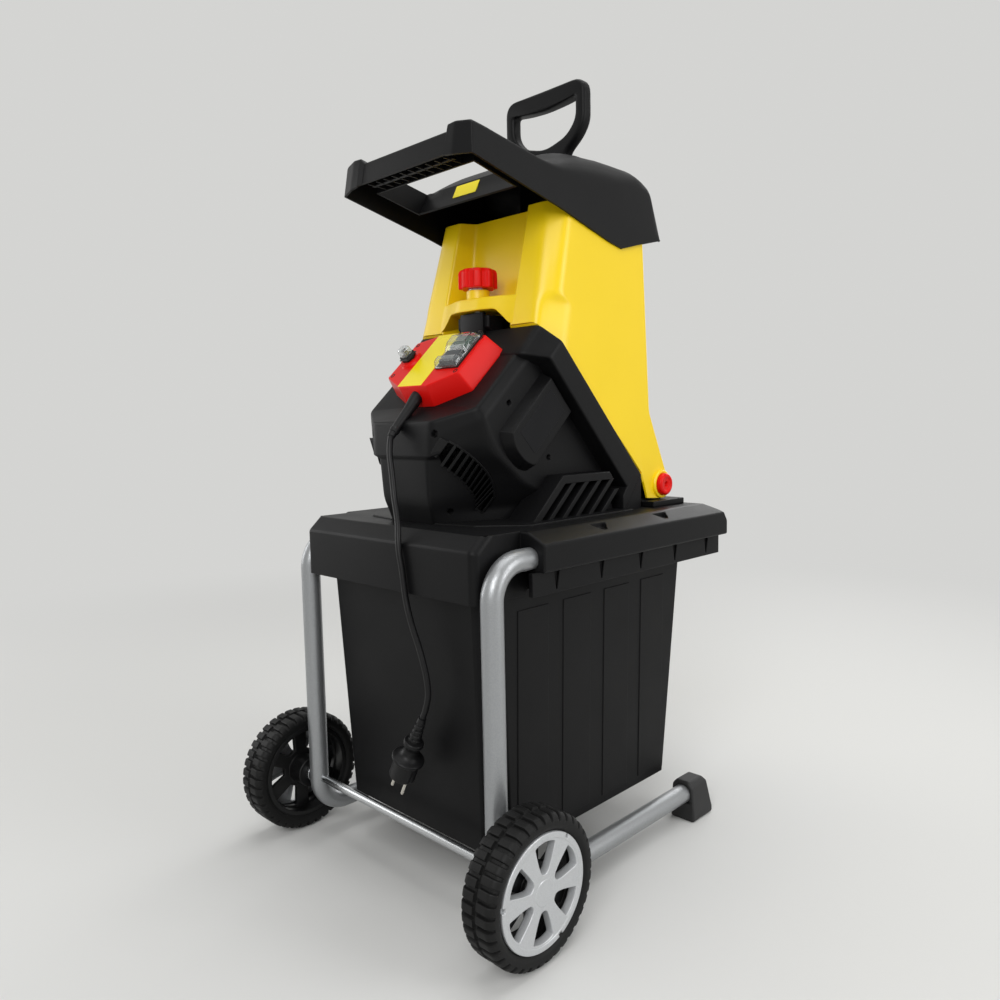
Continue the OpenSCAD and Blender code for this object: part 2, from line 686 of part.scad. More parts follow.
module motor_rotor() color("#a8794b") on_motor() {
    disc_at(pulley_w + 1, pulley_w + 1 - tail_w + bracket_t, shaft_r);
    disc_at(stator_w, stator_t, armature_r);
    disc_at(stator_w + 12, 9, commutator_r);
}
module motor_fan() color("#2c2f33") on_motor() translate([0, 0, stator_w - stator_t - 12]) difference() {
    union() {
        cylinder(h = 2, r = 38);
        cylinder(h = 8, r = shaft_r + 5);
        for (a = [0:30:330]) rotate([0, 0, a]) translate([shaft_r + 3, -0.8, 0]) cube([30, 1.6, 8]);
    }
    translate([0, 0, -1]) cylinder(h = 10, r = shaft_r + seat_fit);
}
module brush_holders() color("#5c4a35") on_motor() both_sides()
    translate([commutator_r + 0.6, -6, bracket_w - bracket_t - 10]) cube([28, 12, 10]);

// Switch box on the rear slope: -u points out of the box
box_base = slope_u;
box_top = slope_u - box_h;
box_shell = 2.5;
module rod_u(u0, u1, r) translate([0, u0, 0]) rotate([-90, 0, 0]) cylinder(h = u1 - u0, r = r);
function box_points(i, base) = mirrored([
    at(30 - i * 0.4, base, -152 + i), at(box_half - i, base, -126 + i * 0.6),
    at(box_half - i, base, -45 - i * 0.4), at(35 - i * 0.4, base, -18 - i),
    at(26 - i * 0.4, box_top + i, -141 + i), at(box_half - 10 - i, box_top + i, -121 + i * 0.6),
    at(box_half - 10 - i, box_top + i, -46 - i * 0.4), at(30 - i * 0.4, box_top + i, -29 - i)]);
switch_x = [24, 64];
switch_w = [-108, -48];
reset_x = -51;
reset_w = -85;
reset_boss = 4;
gland_from = [0, 49, 671];
gland_to = [0, 9, 610];
gland_r = [8, 5.5];
box_screw_places = [[70, -54], [66, -118], [-68, -52], [-66, -117]];
box_screw_r = 1.7;
module switch_box() color(red) difference() {
    union() {
        difference() {
            convex(box_points(0, box_base));
            convex(box_points(box_shell, box_base + 1));
        }
        tilted() translate([reset_x, 0, reset_w]) rod_u(box_top - reset_boss, box_top + 1, 15);
    }
    tilted() {
        // The collar of the housing passes under the upper edge
        translate([-200, -160 - air, -collar_t - air]) cube([400, 100, 100]);
        translate([switch_x[0], box_top - 1, switch_w[0]])
            cube([switch_x[1] - switch_x[0], 10, switch_w[1] - switch_w[0]]);
        translate([reset_x, 0, reset_w]) rod_u(box_top - reset_boss - 1, box_top + 10, 6 + seat_fit);
        for (s = box_screw_places) translate([s[0], 0, s[1]])
            rod_u(box_top - 1, box_top + 10, box_screw_r + seat_fit);
    }
    aim(gland_from, gland_to) translate([0, 0, -20]) cylinder(h = 40, r = gland_r[0] + seat_fit);
}
module switch_box_screws() color(steel) tilted() for (s = box_screw_places) translate([s[0], 0, s[1]]) {
    rod_u(box_top - 1.8, box_top, 3.6);
    rod_u(box_top, box_top + 10, box_screw_r);
}
frame_rim = 2;
frame_depth = 24;
flap_axis_u = box_top - 5;
flap_axis_w = switch_w[1] + 3.5;
flap_pin_r = 1.2;
start_w = [-76, -54];
stop_w = [-104, -82];
button_x = [30, 58];
module button_hole(w) translate([button_x[0] - air, box_top - 5, w[0] - air])
    cube([button_x[1] - button_x[0] + 2 * air, frame_depth + 2, w[1] - w[0] + 2 * air]);
switch_wide = switch_x[1] - switch_x[0];
switch_tall = switch_w[1] - switch_w[0];
module switch_frame() color(black) tilted() difference() {
    union() {
        translate([switch_x[0] - 2, box_top - frame_rim, switch_w[0] - 2])
            cube([switch_wide + 4, frame_rim, switch_tall + 8]);
        translate([switch_x[0] + seat_fit, box_top - 0.5, switch_w[0] + seat_fit])
            cube([switch_wide - 2 * seat_fit, frame_depth + 0.5, switch_tall - 2 * seat_fit]);
        for (x = [switch_x[0] - 2, switch_x[1] - 2]) translate([x, flap_axis_u, flap_axis_w]) {
            rod_x(0, 4, 2.7);
            translate([0, 0, -2.7]) cube([4, box_top - frame_rim - flap_axis_u + 0.5, 5.4]);
        }
    }
    button_hole(start_w);
    button_hole(stop_w);
    translate([0, flap_axis_u, flap_axis_w]) rod_x(0, 100, flap_pin_r + run_fit);
}
module push_button(w) tilted() translate([button_x[0], box_top - 9, w[0]])
    cube([button_x[1] - button_x[0], 9 + frame_depth - 7, w[1] - w[0]]);
module start_button() color("#3d7a46") push_button(start_w);
module stop_button() color("#7d8084") push_button(stop_w);
flap_base = box_top - frame_rim - air;
flap_wall = 1.5;
module switch_flap() color([0.85, 0.88, 0.9, 0.35]) tilted() {
    difference() {
        translate([switch_x[0] - 1.5, flap_base - flap_h, switch_w[0] - 1.5])
            cube([switch_wide + 3, flap_h, switch_tall + 2]);
        translate([switch_x[0] - 1.5, flap_base - flap_h, switch_w[0] - 1.5] + flap_wall * [1, 1, 1])
            cube([switch_wide + 3 - 2 * flap_wall, flap_h, switch_tall + 2 - 2 * flap_wall]);
    }
    translate([switch_x[0] + 6, flap_axis_u - 1.5, switch_w[1] - 0.5]) cube([switch_wide - 12, 3, 4]);
    translate([0, flap_axis_u, flap_axis_w]) {
        rod_x(switch_x[0] + 2 + air, switch_x[1] - 2 - air, 2.2);
        rod_x(switch_x[0] - 1.8, switch_x[1] + 1.8, flap_pin_r);
    }
}
// Overload reset: nut and barrel, pressed stem, clear boot
nut_u = box_top - reset_boss;
stem_r = 3.5;
stem_top = nut_u - 17;
module reset_breaker() color(black) tilted() translate([reset_x, 0, reset_w]) difference() {
    union() {
        translate([0, nut_u - 4, 0]) rotate([-90, 0, 0]) cylinder(h = 4, r = 11, $fn = 6);
        rod_u(nut_u - 8, nut_u + 12, 6);
        translate([-10, nut_u + 11, -14]) cube([20, 20, 28]);
    }
    rod_u(nut_u - 9, nut_u + 14, stem_r + run_fit);
}
module reset_button() color(black) tilted() translate([reset_x, 0, reset_w])
    rod_u(stem_top, nut_u + 8, stem_r);
module reset_boot() color([0.9, 0.92, 0.92, 0.5]) tilted() translate([reset_x, 0, reset_w]) difference() {
    rod_u(stem_top - 3.5, nut_u - 8 + air, 8);
    rod_u(stem_top, nut_u, 6 + air + 0.1);
}

// Cord: sleeve, tube along a hand-laid route, moulded plug
module cord_gland() color(black) aim(gland_from, gland_to) {
    cylinder(h = norm(gland_to - gland_from), r1 = gland_r[0], r2 = gland_r[1]);
    translate([0, 0, -8]) cylinder(h = 8, r = gland_r[0]);
}
// The upper end follows the sleeve, and the lower end hangs where it is
function sway(p, k) = p + [0, k * top_shift, 0];
route = [
    sway(gland_to, 1), sway(gland_to + (gland_to - gland_from) / norm(gland_to - gland_from) * 13, 1),
    sway([1, -4, 586], 0.8), sway([3, -7, 568], 0.5), sway([7, -9.5, 549], 0.25), sway([14, -12, 531], 0.1),
    [24, -15, 514],
    [34, -17.5, 498], [41, -19, 481], [46, -19, 463], [50, -19, 445], [53, -19, 426],
    [56, -19, 407], [61, -18.5, 387], [66, -16, 366], [72, -13, 345], [78, -11, 323],
    [82, -9.5, 302], [83.5, -9.5, 282], [79.8, -11.2, 263.7], [74, -12, 251]];
plug_from = [74, -12, 251];
plug_to = [30, -18, 155];
cord_sides = 10;
function along(i) = let (a = route[max(i - 1, 0)], b = route[min(i + 1, len(route) - 1)])
    (b - a) / norm(b - a);
function across(i) = let (c = cross(along(i), [1, 0, 0])) c / norm(c);
function ring(i) = [for (k = [0:cord_sides - 1]) route[i] + cord_d / 2 *
    (across(i) * cos(k * 360 / cord_sides) + cross(along(i), across(i)) * sin(k * 360 / cord_sides))];
module cord() color("#1f1f20") {
    n = len(route);
    rings = [for (i = [0:n - 1]) each ring(i)];
    sides = [for (i = [0:n - 2], k = [0:cord_sides - 1]) let (j = (k + 1) % cord_sides)
        [i * cord_sides + k, (i + 1) * cord_sides + k, (i + 1) * cord_sides + j, i * cord_sides + j]];
    near_end = [[for (k = [0:cord_sides - 1]) k]];
    far_end = [[for (k = [0:cord_sides - 1]) n * cord_sides - 1 - k]];
    polyhedron(points = rings, faces = concat(near_end, sides, far_end), convexity = 6);
}
relief_l = 37;
pin_gap = 9.5;
module plug_body() color("#1f1f20") aim(plug_from, plug_to) difference() {
    union() {
        cylinder(h = relief_l, r1 = 5, r2 = 8.5);
        translate([0, 0, relief_l]) cylinder(h = 21, r = 14);
        translate([0, 0, relief_l + 20]) cylinder(h = 4, r = 10);
        translate([0, 0, relief_l + 23]) cylinder(h = 10, r = plug_flange_d / 2);
        translate([0, 0, relief_l + 32]) cylinder(h = 28, r = plug_flange_d / 2 - 3.5);
    }
    for (x = [-pin_gap, pin_gap]) translate([x, 0, relief_l + 50]) cylinder(h = 11, r = 2.4 + seat_fit);
}
module plug_pins() color(steel) aim(plug_from, plug_to) for (x = [-pin_gap, pin_gap])
    translate([x, 0, relief_l + 50]) cylinder(h = 29, r = 2.4);

// Hopper: funnel with a niche for the lock knob, on two hinge legs
hopper_base = 540;
hopper_floor = 545;
lid_gap = 1;
floor_t = 4;
function hopper_points(i, over) = mirrored([
    [hopper_side_low - 5.5 - i, 111 + i, hopper_base], [hopper_side_low - i, 165 + i / 2, hopper_base],
    [hopper_side_low - i, hopper_front - i, hopper_base],
    [100 - i * 0.4, 212.5 + i, hopper_top + over], [hopper_side_top - i, 236 + i / 2, hopper_top + over],
    [hopper_side_top - i, hopper_front - i, hopper_top + over]]);
function niche_back(z) = 205 + (z - 714) * 29.5 / 231;
module niche(i) convex(mirrored([
    [niche_half + i, 60, 600 - i], [niche_half + i, niche_back(600) + i, 600 - i],
    [niche_half + i, 60, 970], [niche_half + i, niche_back(970) + i, 970]]));
module under_cut(h) tilted() translate([-300, -500, -500]) cube([600, 1000, 500 + h]);
module hopper_shell() difference() {
    convex(hopper_points(0, 0));
    difference() {
        convex(hopper_points(hopper_wall, 1));
        niche(hopper_wall);
        under_cut(lid_gap + floor_t);
        translate([-300, 300, 400]) cube([600, 300, hopper_floor + floor_t - 400]);
    }
    niche(0);
    under_cut(lid_gap);
    translate([-300, 340, 400]) cube([600, 300, hopper_floor - 400]);
}
leg_t = 12;
leg_in = hopper_side_low - leg_t;
leg_rear = hopper_front - 29;
knuckle_r = 22;
module leg_profile() {
    polygon([
        [leg_rear, hinge_z], [leg_rear, hopper_floor], [hopper_front - 14, hopper_floor + 60],
        [hopper_front - 1, hopper_floor + 92], [hopper_front, hopper_floor + 92],
        [hinge_ahead + knuckle_r + 2.5, hinge_z + 12], [hinge_ahead + 10, hinge_z]]);
    intersection() {
        translate([leg_rear, hinge_z - 20]) square([hinge_ahead - leg_rear, 21]);
        translate([hinge_ahead, hinge_z]) circle(r = 54);
    }
    translate([hinge_ahead, hinge_z]) circle(r = knuckle_r);
}
shelf_z = [780, 804];
seat_z = shelf_z[1] + 10;
module hopper() color(yellow) difference() {
    union() {
        hopper_shell();
        both_sides() along_x(leg_in, hopper_side_low) leg_profile();
        both_sides() translate([0, hinge_ahead, hinge_z])
            rod_x(hopper_side_low - 1, hopper_side_low + 3.5, knuckle_r);
        translate([0, 0, shelf_z[0]]) linear_extrude(shelf_z[1] - shelf_z[0]) polygon([
            [niche_half + 1, 216], [niche_half + 1, 172], [44, 160], [22, 153],
            [-22, 153], [-44, 160], [-niche_half - 1, 172], [-niche_half - 1, 216]]);
        translate([0, knob_ahead, shelf_z[1] - 1]) cylinder(h = 11, r = 17.5);
    }
    tilted() translate([-60 - seat_fit, -90, -5]) cube([120 + 2 * seat_fit, 72 + seat_fit, 20]);
    translate([0, knob_ahead, shelf_z[0] - 1]) cylinder(h = 60, r = lock_r + 0.4);
    both_sides() translate([0, hinge_ahead, hinge_z])
        rod_x(leg_in - 1, hopper_side_low + 5, pin_r + seat_fit);
}
// Fixed counter blade at the lower edge of the feed opening
module counter_blade() color("#c4c7ca") tilted()
    translate([-60, -30, lid_gap]) cube([120, 12, floor_t - 0.5]);
module hinge_pins() color(steel) both_sides() translate([0, hinge_ahead, hinge_z])
    rod_x(118, hopper_side_low + 3.5, pin_r);
module hinge_caps() color(red) both_sides() translate([0, hinge_ahead, hinge_z])
    rod_x(hopper_side_low + 3.5, hopper_side_low + 11.5, 17);
ear_x = [118, leg_in - 0.8];
module hinge_bracket(side) color(black) mirror([side > 0 ? 0 : 1, 0, 0]) difference() {
    union() {
        translate([ear_x[0] - 6, hinge_ahead - 46, deck_z]) cube([51, 84, 9]);
        along_x(ear_x[0], ear_x[1]) {
            translate([hinge_ahead - 18, deck_z + 8]) square([36, hinge_z - deck_z - 8]);
            translate([hinge_ahead, hinge_z]) circle(r = 18);
        }
    }
    translate([0, hinge_ahead, hinge_z]) rod_x(ear_x[0] - 1, ear_x[1] + 1, pin_r + run_fit);
}

// Lock knob with its screw and washer
knob_z = seat_z + air + 2 + air;
module lock_washer() color(steel) translate([0, knob_ahead, seat_z + air]) difference() {
    cylinder(h = 2, r = 14);
    translate([0, 0, -1]) cylinder(h = 4, r = lock_r + run_fit);
}
module lock_screw() color(steel) translate([0, knob_ahead, bracket_top - 21])
    cylinder(h = knob_z + 14 - bracket_top + 21, r = lock_r);
module lock_knob() color(red) translate([0, knob_ahead, knob_z]) difference() {
    union() {
        cylinder(h = knob_h, r = knob_r - 4);
        for (i = [0:knob_lobes - 1]) rotate([0, 0, i * 360 / knob_lobes])
            translate([knob_r - 5, 0, 0]) cylinder(h = knob_h - 2, r = 5);
    }
    translate([0, 0, -1]) cylinder(h = 15, r = lock_r + seat_fit);
}

// Hopper cap: carrying handle at the rear, hood over the feed
function handle_points(i, low) = mirrored([
    [cap_half - 1 - i, cap_rear + i, 951 - low], [cap_half - 12 - i, cap_rear + 9 + i, 993 - i],
    [cap_half - 6 - i, 205, 964 - i], [cap_half - i, 205, 910 - low]]);
// The hood's flanks lean out by this much for each mm further down
flare = 0.045;
function hood_points(i, low) = mirrored([
    [cap_half - i + low * flare, 195 + i, 911 - low], [cap_half - i + low * flare, 336, 873 - low],
    [cap_half - i + low * flare, 380, 885 - low], [cap_half - i + low * flare, cap_front - i, 899 - low],
    [cap_half - 3 - i, cap_front - 28 - i, 978 - i],
    [cap_half - 4 - i, 205 + i, 972 - i], [85 - i, 240 + i, crown_z - i], [85 - i, 400 - i, crown_z - i]]);
grip_y = [cap_rear + grip_depth, 158];
module handle_hole(i) translate([-101 - i, grip_y[0] - i, 850])
    cube([202 + 2 * i, grip_y[1] - grip_y[0] + 2 * i, 200]);
slot_half_x = 58;
slot_y = 17;
module hopper_cap() color(black) difference() {
    union() {
        difference() {
            union() {
                convex(handle_points(0, 0));
                convex(hood_points(0, 0));
            }
            difference() {
                union() {
                    convex(handle_points(cap_wall, 60));
                    convex(hood_points(cap_wall, 60));
                }
                handle_hole(cap_wall);
            }
        }
        // Ribs that rest on the hopper's rim
        both_sides() translate([hopper_side_top - 4, 260, hopper_top]) cube([cap_reach - 1, 110, 16]);
    }
    handle_hole(0);
    translate([-slot_half_x, pusher_ahead - slot_y, crown_z - 20]) cube([2 * slot_half_x, 2 * slot_y, 30]);
}

// Pusher: stem in the feed, D-shaped handle above the hood
bar_h = 26;
post_w = 18;
module pusher_outline() {
    translate([-pusher_half, pusher_top - 62]) square([2 * pusher_half, 62 - post_w]);
    translate([-pusher_half + post_w, pusher_top - post_w]) square([2 * (pusher_half - post_w), post_w]);
    for (s = [-1, 1]) translate([s * (pusher_half - post_w), pusher_top - post_w]) circle(r = post_w);
    polygon([
        [-pusher_half, pusher_top - 61], [pusher_half, pusher_top - 61],
        [pusher_half - 12, pusher_top - 78], [pusher_half / 2, crown_z + 22],
        [pusher_half / 2 - 3, crown_z + 4], [-pusher_half / 2 + 3, crown_z + 4],
        [-pusher_half / 2, crown_z + 22], [-pusher_half + 12, pusher_top - 78]]);
}
opening_half = pusher_half - post_w;
sag = 29;
opening_r = (opening_half * opening_half + sag * sag) / (2 * sag);
module pusher_opening() {
    side_z = pusher_top - 56;
    translate([-opening_half, side_z]) square([2 * opening_half, pusher_top - bar_h - side_z]);
    intersection() {
        translate([-opening_half, side_z - sag - 1]) square([2 * opening_half, sag + 2]);
        translate([0, side_z - sag + opening_r]) circle(r = opening_r);
    }
}
module pusher() color(black) translate([0, pusher_ahead, 0]) {
    along_y(-pusher_t / 2, pusher_t / 2) difference() {
        pusher_outline();
        pusher_opening();
    }
    translate([-75, -31, crown_z + air]) cube([150, 62, 6]);
    translate([-50, -12, 740]) cube([100, 24, crown_z - 738]);
    translate([-56, -14, 730]) cube([112, 28, 11]);
}

// Sides named apart
module frame_tube_left() frame_tube(-1);
module frame_tube_right() frame_tube(1);
module foot_left() foot(-1);
module foot_right() foot(1);
module tyre_left() wheel_side(-1) tyre();
module tyre_right() wheel_side(1) tyre();
module wheel_core_left() wheel_side(-1) wheel_core();
module wheel_core_right() wheel_side(1) wheel_core();
module hubcap_left() wheel_side(-1) hubcap();
module hubcap_right() wheel_side(1) hubcap();
module bin_rail_left() mirror([1, 0, 0]) bin_rail();
module bin_rail_right() bin_rail();
module hinge_bracket_left() hinge_bracket(-1);
module hinge_bracket_right() hinge_bracket(1);
module housing_left() housing_half(-1);
module housing_right() housing_half(1);

place() frame_tube_left();
place() frame_tube_right();
place() axle();
place() foot_left();
place() foot_right();
place() base_cover();
place() bin_rail_left();
place() bin_rail_right();
place_top() hinge_bracket_left();
place_top() hinge_bracket_right();
place_top() housing_left();
place_top() housing_right();
place_top() housing_screws();
place_top() lock_bracket();
place_top() safety_switch();
place_top() bearing_plate();
place_top() motor_stator();
place_top() motor_brackets();
place_top() motor_rotor();
place_top() motor_fan();
place_top() motor_bearings();
place_top() brush_holders();
place_top() drive_pulley();
place_top() drive_belt();
place_top() driven_pulley();
place_top() spindle();
place_top() spindle_bearings();
place_top() blade_disc();
place_top() knives();
place_top() knife_screws();
place_top() counter_blade();
place_top() switch_box();
place_top() switch_box_screws();
place_top() switch_frame();
place_top() start_button();
place_top() stop_button();
place_top() switch_flap();
place_top() reset_breaker();
place_top() reset_button();
place_top() reset_boot();
place_top() cord_gland();
place() cord();
place() plug_body();
place() plug_pins();
place_top() hopper();
place_top() hopper_cap();
place_top() hinge_pins();
place_top() hinge_caps();
place_top() lock_knob();
place_top() lock_screw();
place_top() lock_washer();
place_top() pusher();
place() bin();
place() tyre_left();
place() tyre_right();
place() wheel_core_left();
place() wheel_core_right();
place() hubcap_left();
place() hubcap_right();
place() axle_washers();
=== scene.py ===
import json
import math

import bmesh
import bpy
import numpy as np
from bpy.props import FloatProperty, FloatVectorProperty, IntProperty, PointerProperty
from mathutils import Matrix, Vector

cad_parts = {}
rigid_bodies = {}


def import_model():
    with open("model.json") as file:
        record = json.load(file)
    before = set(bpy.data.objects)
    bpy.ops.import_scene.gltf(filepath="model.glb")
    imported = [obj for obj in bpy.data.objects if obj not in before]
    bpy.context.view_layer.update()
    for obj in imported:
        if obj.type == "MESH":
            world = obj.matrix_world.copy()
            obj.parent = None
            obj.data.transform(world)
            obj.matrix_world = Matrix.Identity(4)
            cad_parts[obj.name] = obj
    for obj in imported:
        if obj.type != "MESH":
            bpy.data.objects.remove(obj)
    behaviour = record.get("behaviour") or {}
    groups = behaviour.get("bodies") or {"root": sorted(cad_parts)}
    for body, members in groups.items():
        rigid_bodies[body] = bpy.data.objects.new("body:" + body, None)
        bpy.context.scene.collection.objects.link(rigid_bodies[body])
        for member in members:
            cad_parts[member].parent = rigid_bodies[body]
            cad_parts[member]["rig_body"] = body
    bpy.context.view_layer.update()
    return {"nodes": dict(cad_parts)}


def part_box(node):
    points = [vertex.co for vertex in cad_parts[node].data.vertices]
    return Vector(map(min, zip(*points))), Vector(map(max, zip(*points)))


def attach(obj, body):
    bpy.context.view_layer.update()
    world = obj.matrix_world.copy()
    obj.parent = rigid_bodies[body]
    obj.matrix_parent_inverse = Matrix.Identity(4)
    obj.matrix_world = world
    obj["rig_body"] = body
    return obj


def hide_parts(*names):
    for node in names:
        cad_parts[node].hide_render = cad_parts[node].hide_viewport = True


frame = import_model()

bl_info = {
    "name": "Garden shredder",
    "version": (1, 0, 0),
    "blender": (4, 5, 0),
    "location": "3D View > Sidebar > Shredder",
    "description": "Dresses the solids of a wheeled garden shredder",
    "category": "Object",
}

# The axle's place in the frame, in metres
AXLE_Y = (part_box("axle")[0].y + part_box("axle")[1].y) / 2
# Lengths below are millimetres: x to the machine's right, y ahead of the axle, z above the ground
AXLE_R = 6
WHEEL_R = 1000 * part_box("axle")[0].z + AXLE_R
WHEEL_X = 500 * (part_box("tyre_right")[0].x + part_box("tyre_right")[1].x)
# The frame's tubes: their distance from the middle, and their radius
TUBE_X, TUBE_R = 193, 14
# Height at which the housing's walls start, just inside the deck
DECK = 489
# The cutting plane: its slope, and the place of its middle
SLOPE = math.radians(47)
SLOPE_Y, SLOPE_Z = 278, 638
# The hinge's axis as (y, z), the lock screw's axis ahead of the axle
HINGE = (422, 525)
LOCK_Y = 175
# The switch box's face over the cutting plane's middle, and the reset's place on it as (x, w)
FACE = 185
RESET = (-51, -85)
SIDES = ((-1, "left"), (1, "right"))


def linear(code):
    """An sRGB hex colour as the linear colour, with alpha, that Blender works in."""
    srgb = [int(code[i:i + 2], 16) / 255 for i in (1, 3, 5)]
    return tuple(c / 12.92 if c <= 0.04045 else ((c + 0.055) / 1.055) ** 2.4 for c in srgb) + (1.0,)


def colour_setting(name, description, code):
    return FloatVectorProperty(
        name=name, description=description, subtype="COLOR", size=4, min=0, max=1, default=linear(code))


def length_setting(name, description, mm, low, high):
    return FloatProperty(
        name=name, description=description, unit="LENGTH", default=mm / 1000, min=low / 1000, max=high / 1000)


class ShredderColours(bpy.types.PropertyGroup):
    """Colours of the finishes."""
    hopper: colour_setting("Hopper", "Yellow of the moulded hopper", "#f2cf06")
    switch: colour_setting("Switch box", "Red of the switch box, knob and hinge caps", "#dc120d")
    body: colour_setting("Body", "Black of the housing, cover, bin and cap", "#0e0e0f")
    tube: colour_setting("Tubes", "Silver of the frame's paint", "#9c9ea0")
    wheel_cover: colour_setting("Wheel covers", "Silver of the wheel covers", "#c2c4c6")
    label: colour_setting("Labels", "Yellow of the plain labels", "#f4e010")
    floor: colour_setting("Floor", "Pale floor and backdrop", "#d9d9d7")


class ShredderSizes(bpy.types.PropertyGroup):
    """Sizes that a user may want to change."""
    grain: length_setting("Grain", "Pitch of the moulded grain", 1.6, 0.4, 5)
    tread_depth: length_setting("Tread depth", "Depth of the grooves in the tyres", 4, 1, 5)
    tread_blocks: IntProperty(
        name="Tread blocks", description="Blocks in each row of a tyre", default=38, min=16, max=44)
    cord_diameter: length_setting("Cord", "Diameter of the mains lead", 8, 6, 9)
    knob_lobes: IntProperty(
        name="Knob lobes", description="Lobes round the lock knob", default=8, min=5, max=12)


def colours():
    return bpy.context.scene.shredder_colours


def sizes():
    return bpy.context.scene.shredder_sizes


# Meshes from arrays

def metres(points):
    """Millimetres ahead of the axle to metres in the frame."""
    return np.asarray(points, float).reshape(-1, 3) / 1000 + (0, AXLE_Y, 0)


def tilted(x, u, w):
    """Places on the cutting plane's frame: u runs down the slope to the front, w out of it."""
    x, u, w = np.broadcast_arrays(np.asarray(x, float), np.asarray(u, float), np.asarray(w, float))
    return np.stack([x, SLOPE_Y + u * math.cos(SLOPE) + w * math.sin(SLOPE),
                     SLOPE_Z - u * math.sin(SLOPE) + w * math.cos(SLOPE)], -1)


def sheet(points, wrap_rows=False, wrap_cols=False):
    """A shape, as (points, faces), from a grid of points: four-sided faces between neighbours, closed round
    on itself where asked."""
    points = np.asarray(points, float)
    rows, cols = points.shape[:2]
    i = np.arange(rows if wrap_rows else rows - 1)[:, None]
    j = np.arange(cols if wrap_cols else cols - 1)[None, :]
    i2, j2 = (i + 1) % rows, (j + 1) % cols
    corners = (i * cols + j, i * cols + j2, i2 * cols + j2, i2 * cols + j)
    return points.reshape(-1, 3), np.stack(np.broadcast_arrays(*corners), -1).reshape(-1, 4).tolist()


def joined(shapes):
    """Several shapes as one."""
    starts = np.cumsum([0] + [len(points) for points, _ in shapes]).tolist()
    faces = [[k + start for k in face] for (_, part), start in zip(shapes, starts) for face in part]
    return np.concatenate([points for points, _ in shapes]), faces


def mesh_of(name, shape):
    """A mesh from a shape in millimetres, with doubles merged and its faces outwards."""
    points, faces = shape
    mesh = bpy.data.meshes.new(name)
    mesh.from_pydata(metres(points), [], faces)
    bm = bmesh.new()
    bm.from_mesh(mesh)
    bmesh.ops.remove_doubles(bm, verts=bm.verts, dist=4e-6)
    bmesh.ops.dissolve_degenerate(bm, edges=bm.edges, dist=1e-7)
    bmesh.ops.recalc_face_normals(bm, faces=bm.faces)
    bm.to_mesh(mesh)
    bm.free()
    return mesh


def modifier(made, name, kind, **settings):
    """Adds a modifier with its settings."""
    added = made.modifiers.new(name, kind)
    for key, value in settings.items():
        setattr(added, key, value)


def finished(name, mesh, finish, body, stands_for=None, bevel=0, wall=0):
    """Puts a mesh into the scene as a piece with its finish, modifiers and body, and hides the solid that it
    stands for. The wall lies behind an open sheet."""
    mesh.materials.clear()
    mesh.materials.append(FINISHES[finish])
    made = bpy.data.objects.new(name, mesh)
    bpy.context.scene.collection.objects.link(made)
    if wall:
        modifier(made, "Wall", "SOLIDIFY", thickness=wall / 1000, offset=-1)
    if bevel:
        modifier(made, "Edges", "BEVEL", width=bevel / 1000, segments=3, limit_method="ANGLE",
                 angle_limit=math.radians(35))
    if bevel or wall:
        modifier(made, "Normals", "WEIGHTED_NORMAL")
    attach(made, body)
    if stands_for:
        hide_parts(stands_for)
    return made


def piece(name, shape, finish, body, stands_for=None, bevel=0, wall=0):
    """A piece of the object from a shape in millimetres, smooth but for its sharp edges."""
    mesh = mesh_of(name, shape)
    mesh.shade_smooth()
    mesh.set_sharp_from_angle(angle=math.radians(42))
    return finished(name, mesh, finish, body, stands_for, bevel, wall)


def read(items, key, width=0, kind=np.float64):
    """One value of all the items of a mesh as an array, in rows of the width where there is one."""
    values = np.empty(len(items) * max(width, 1), kind)
    items.foreach_get(key, values)
    return values.reshape(-1, width) if width else values


# How much of the way to the next edge a rounding may take: where that edge is rounded too, and where not
SHARED, ALONE = 0.42, 0.75


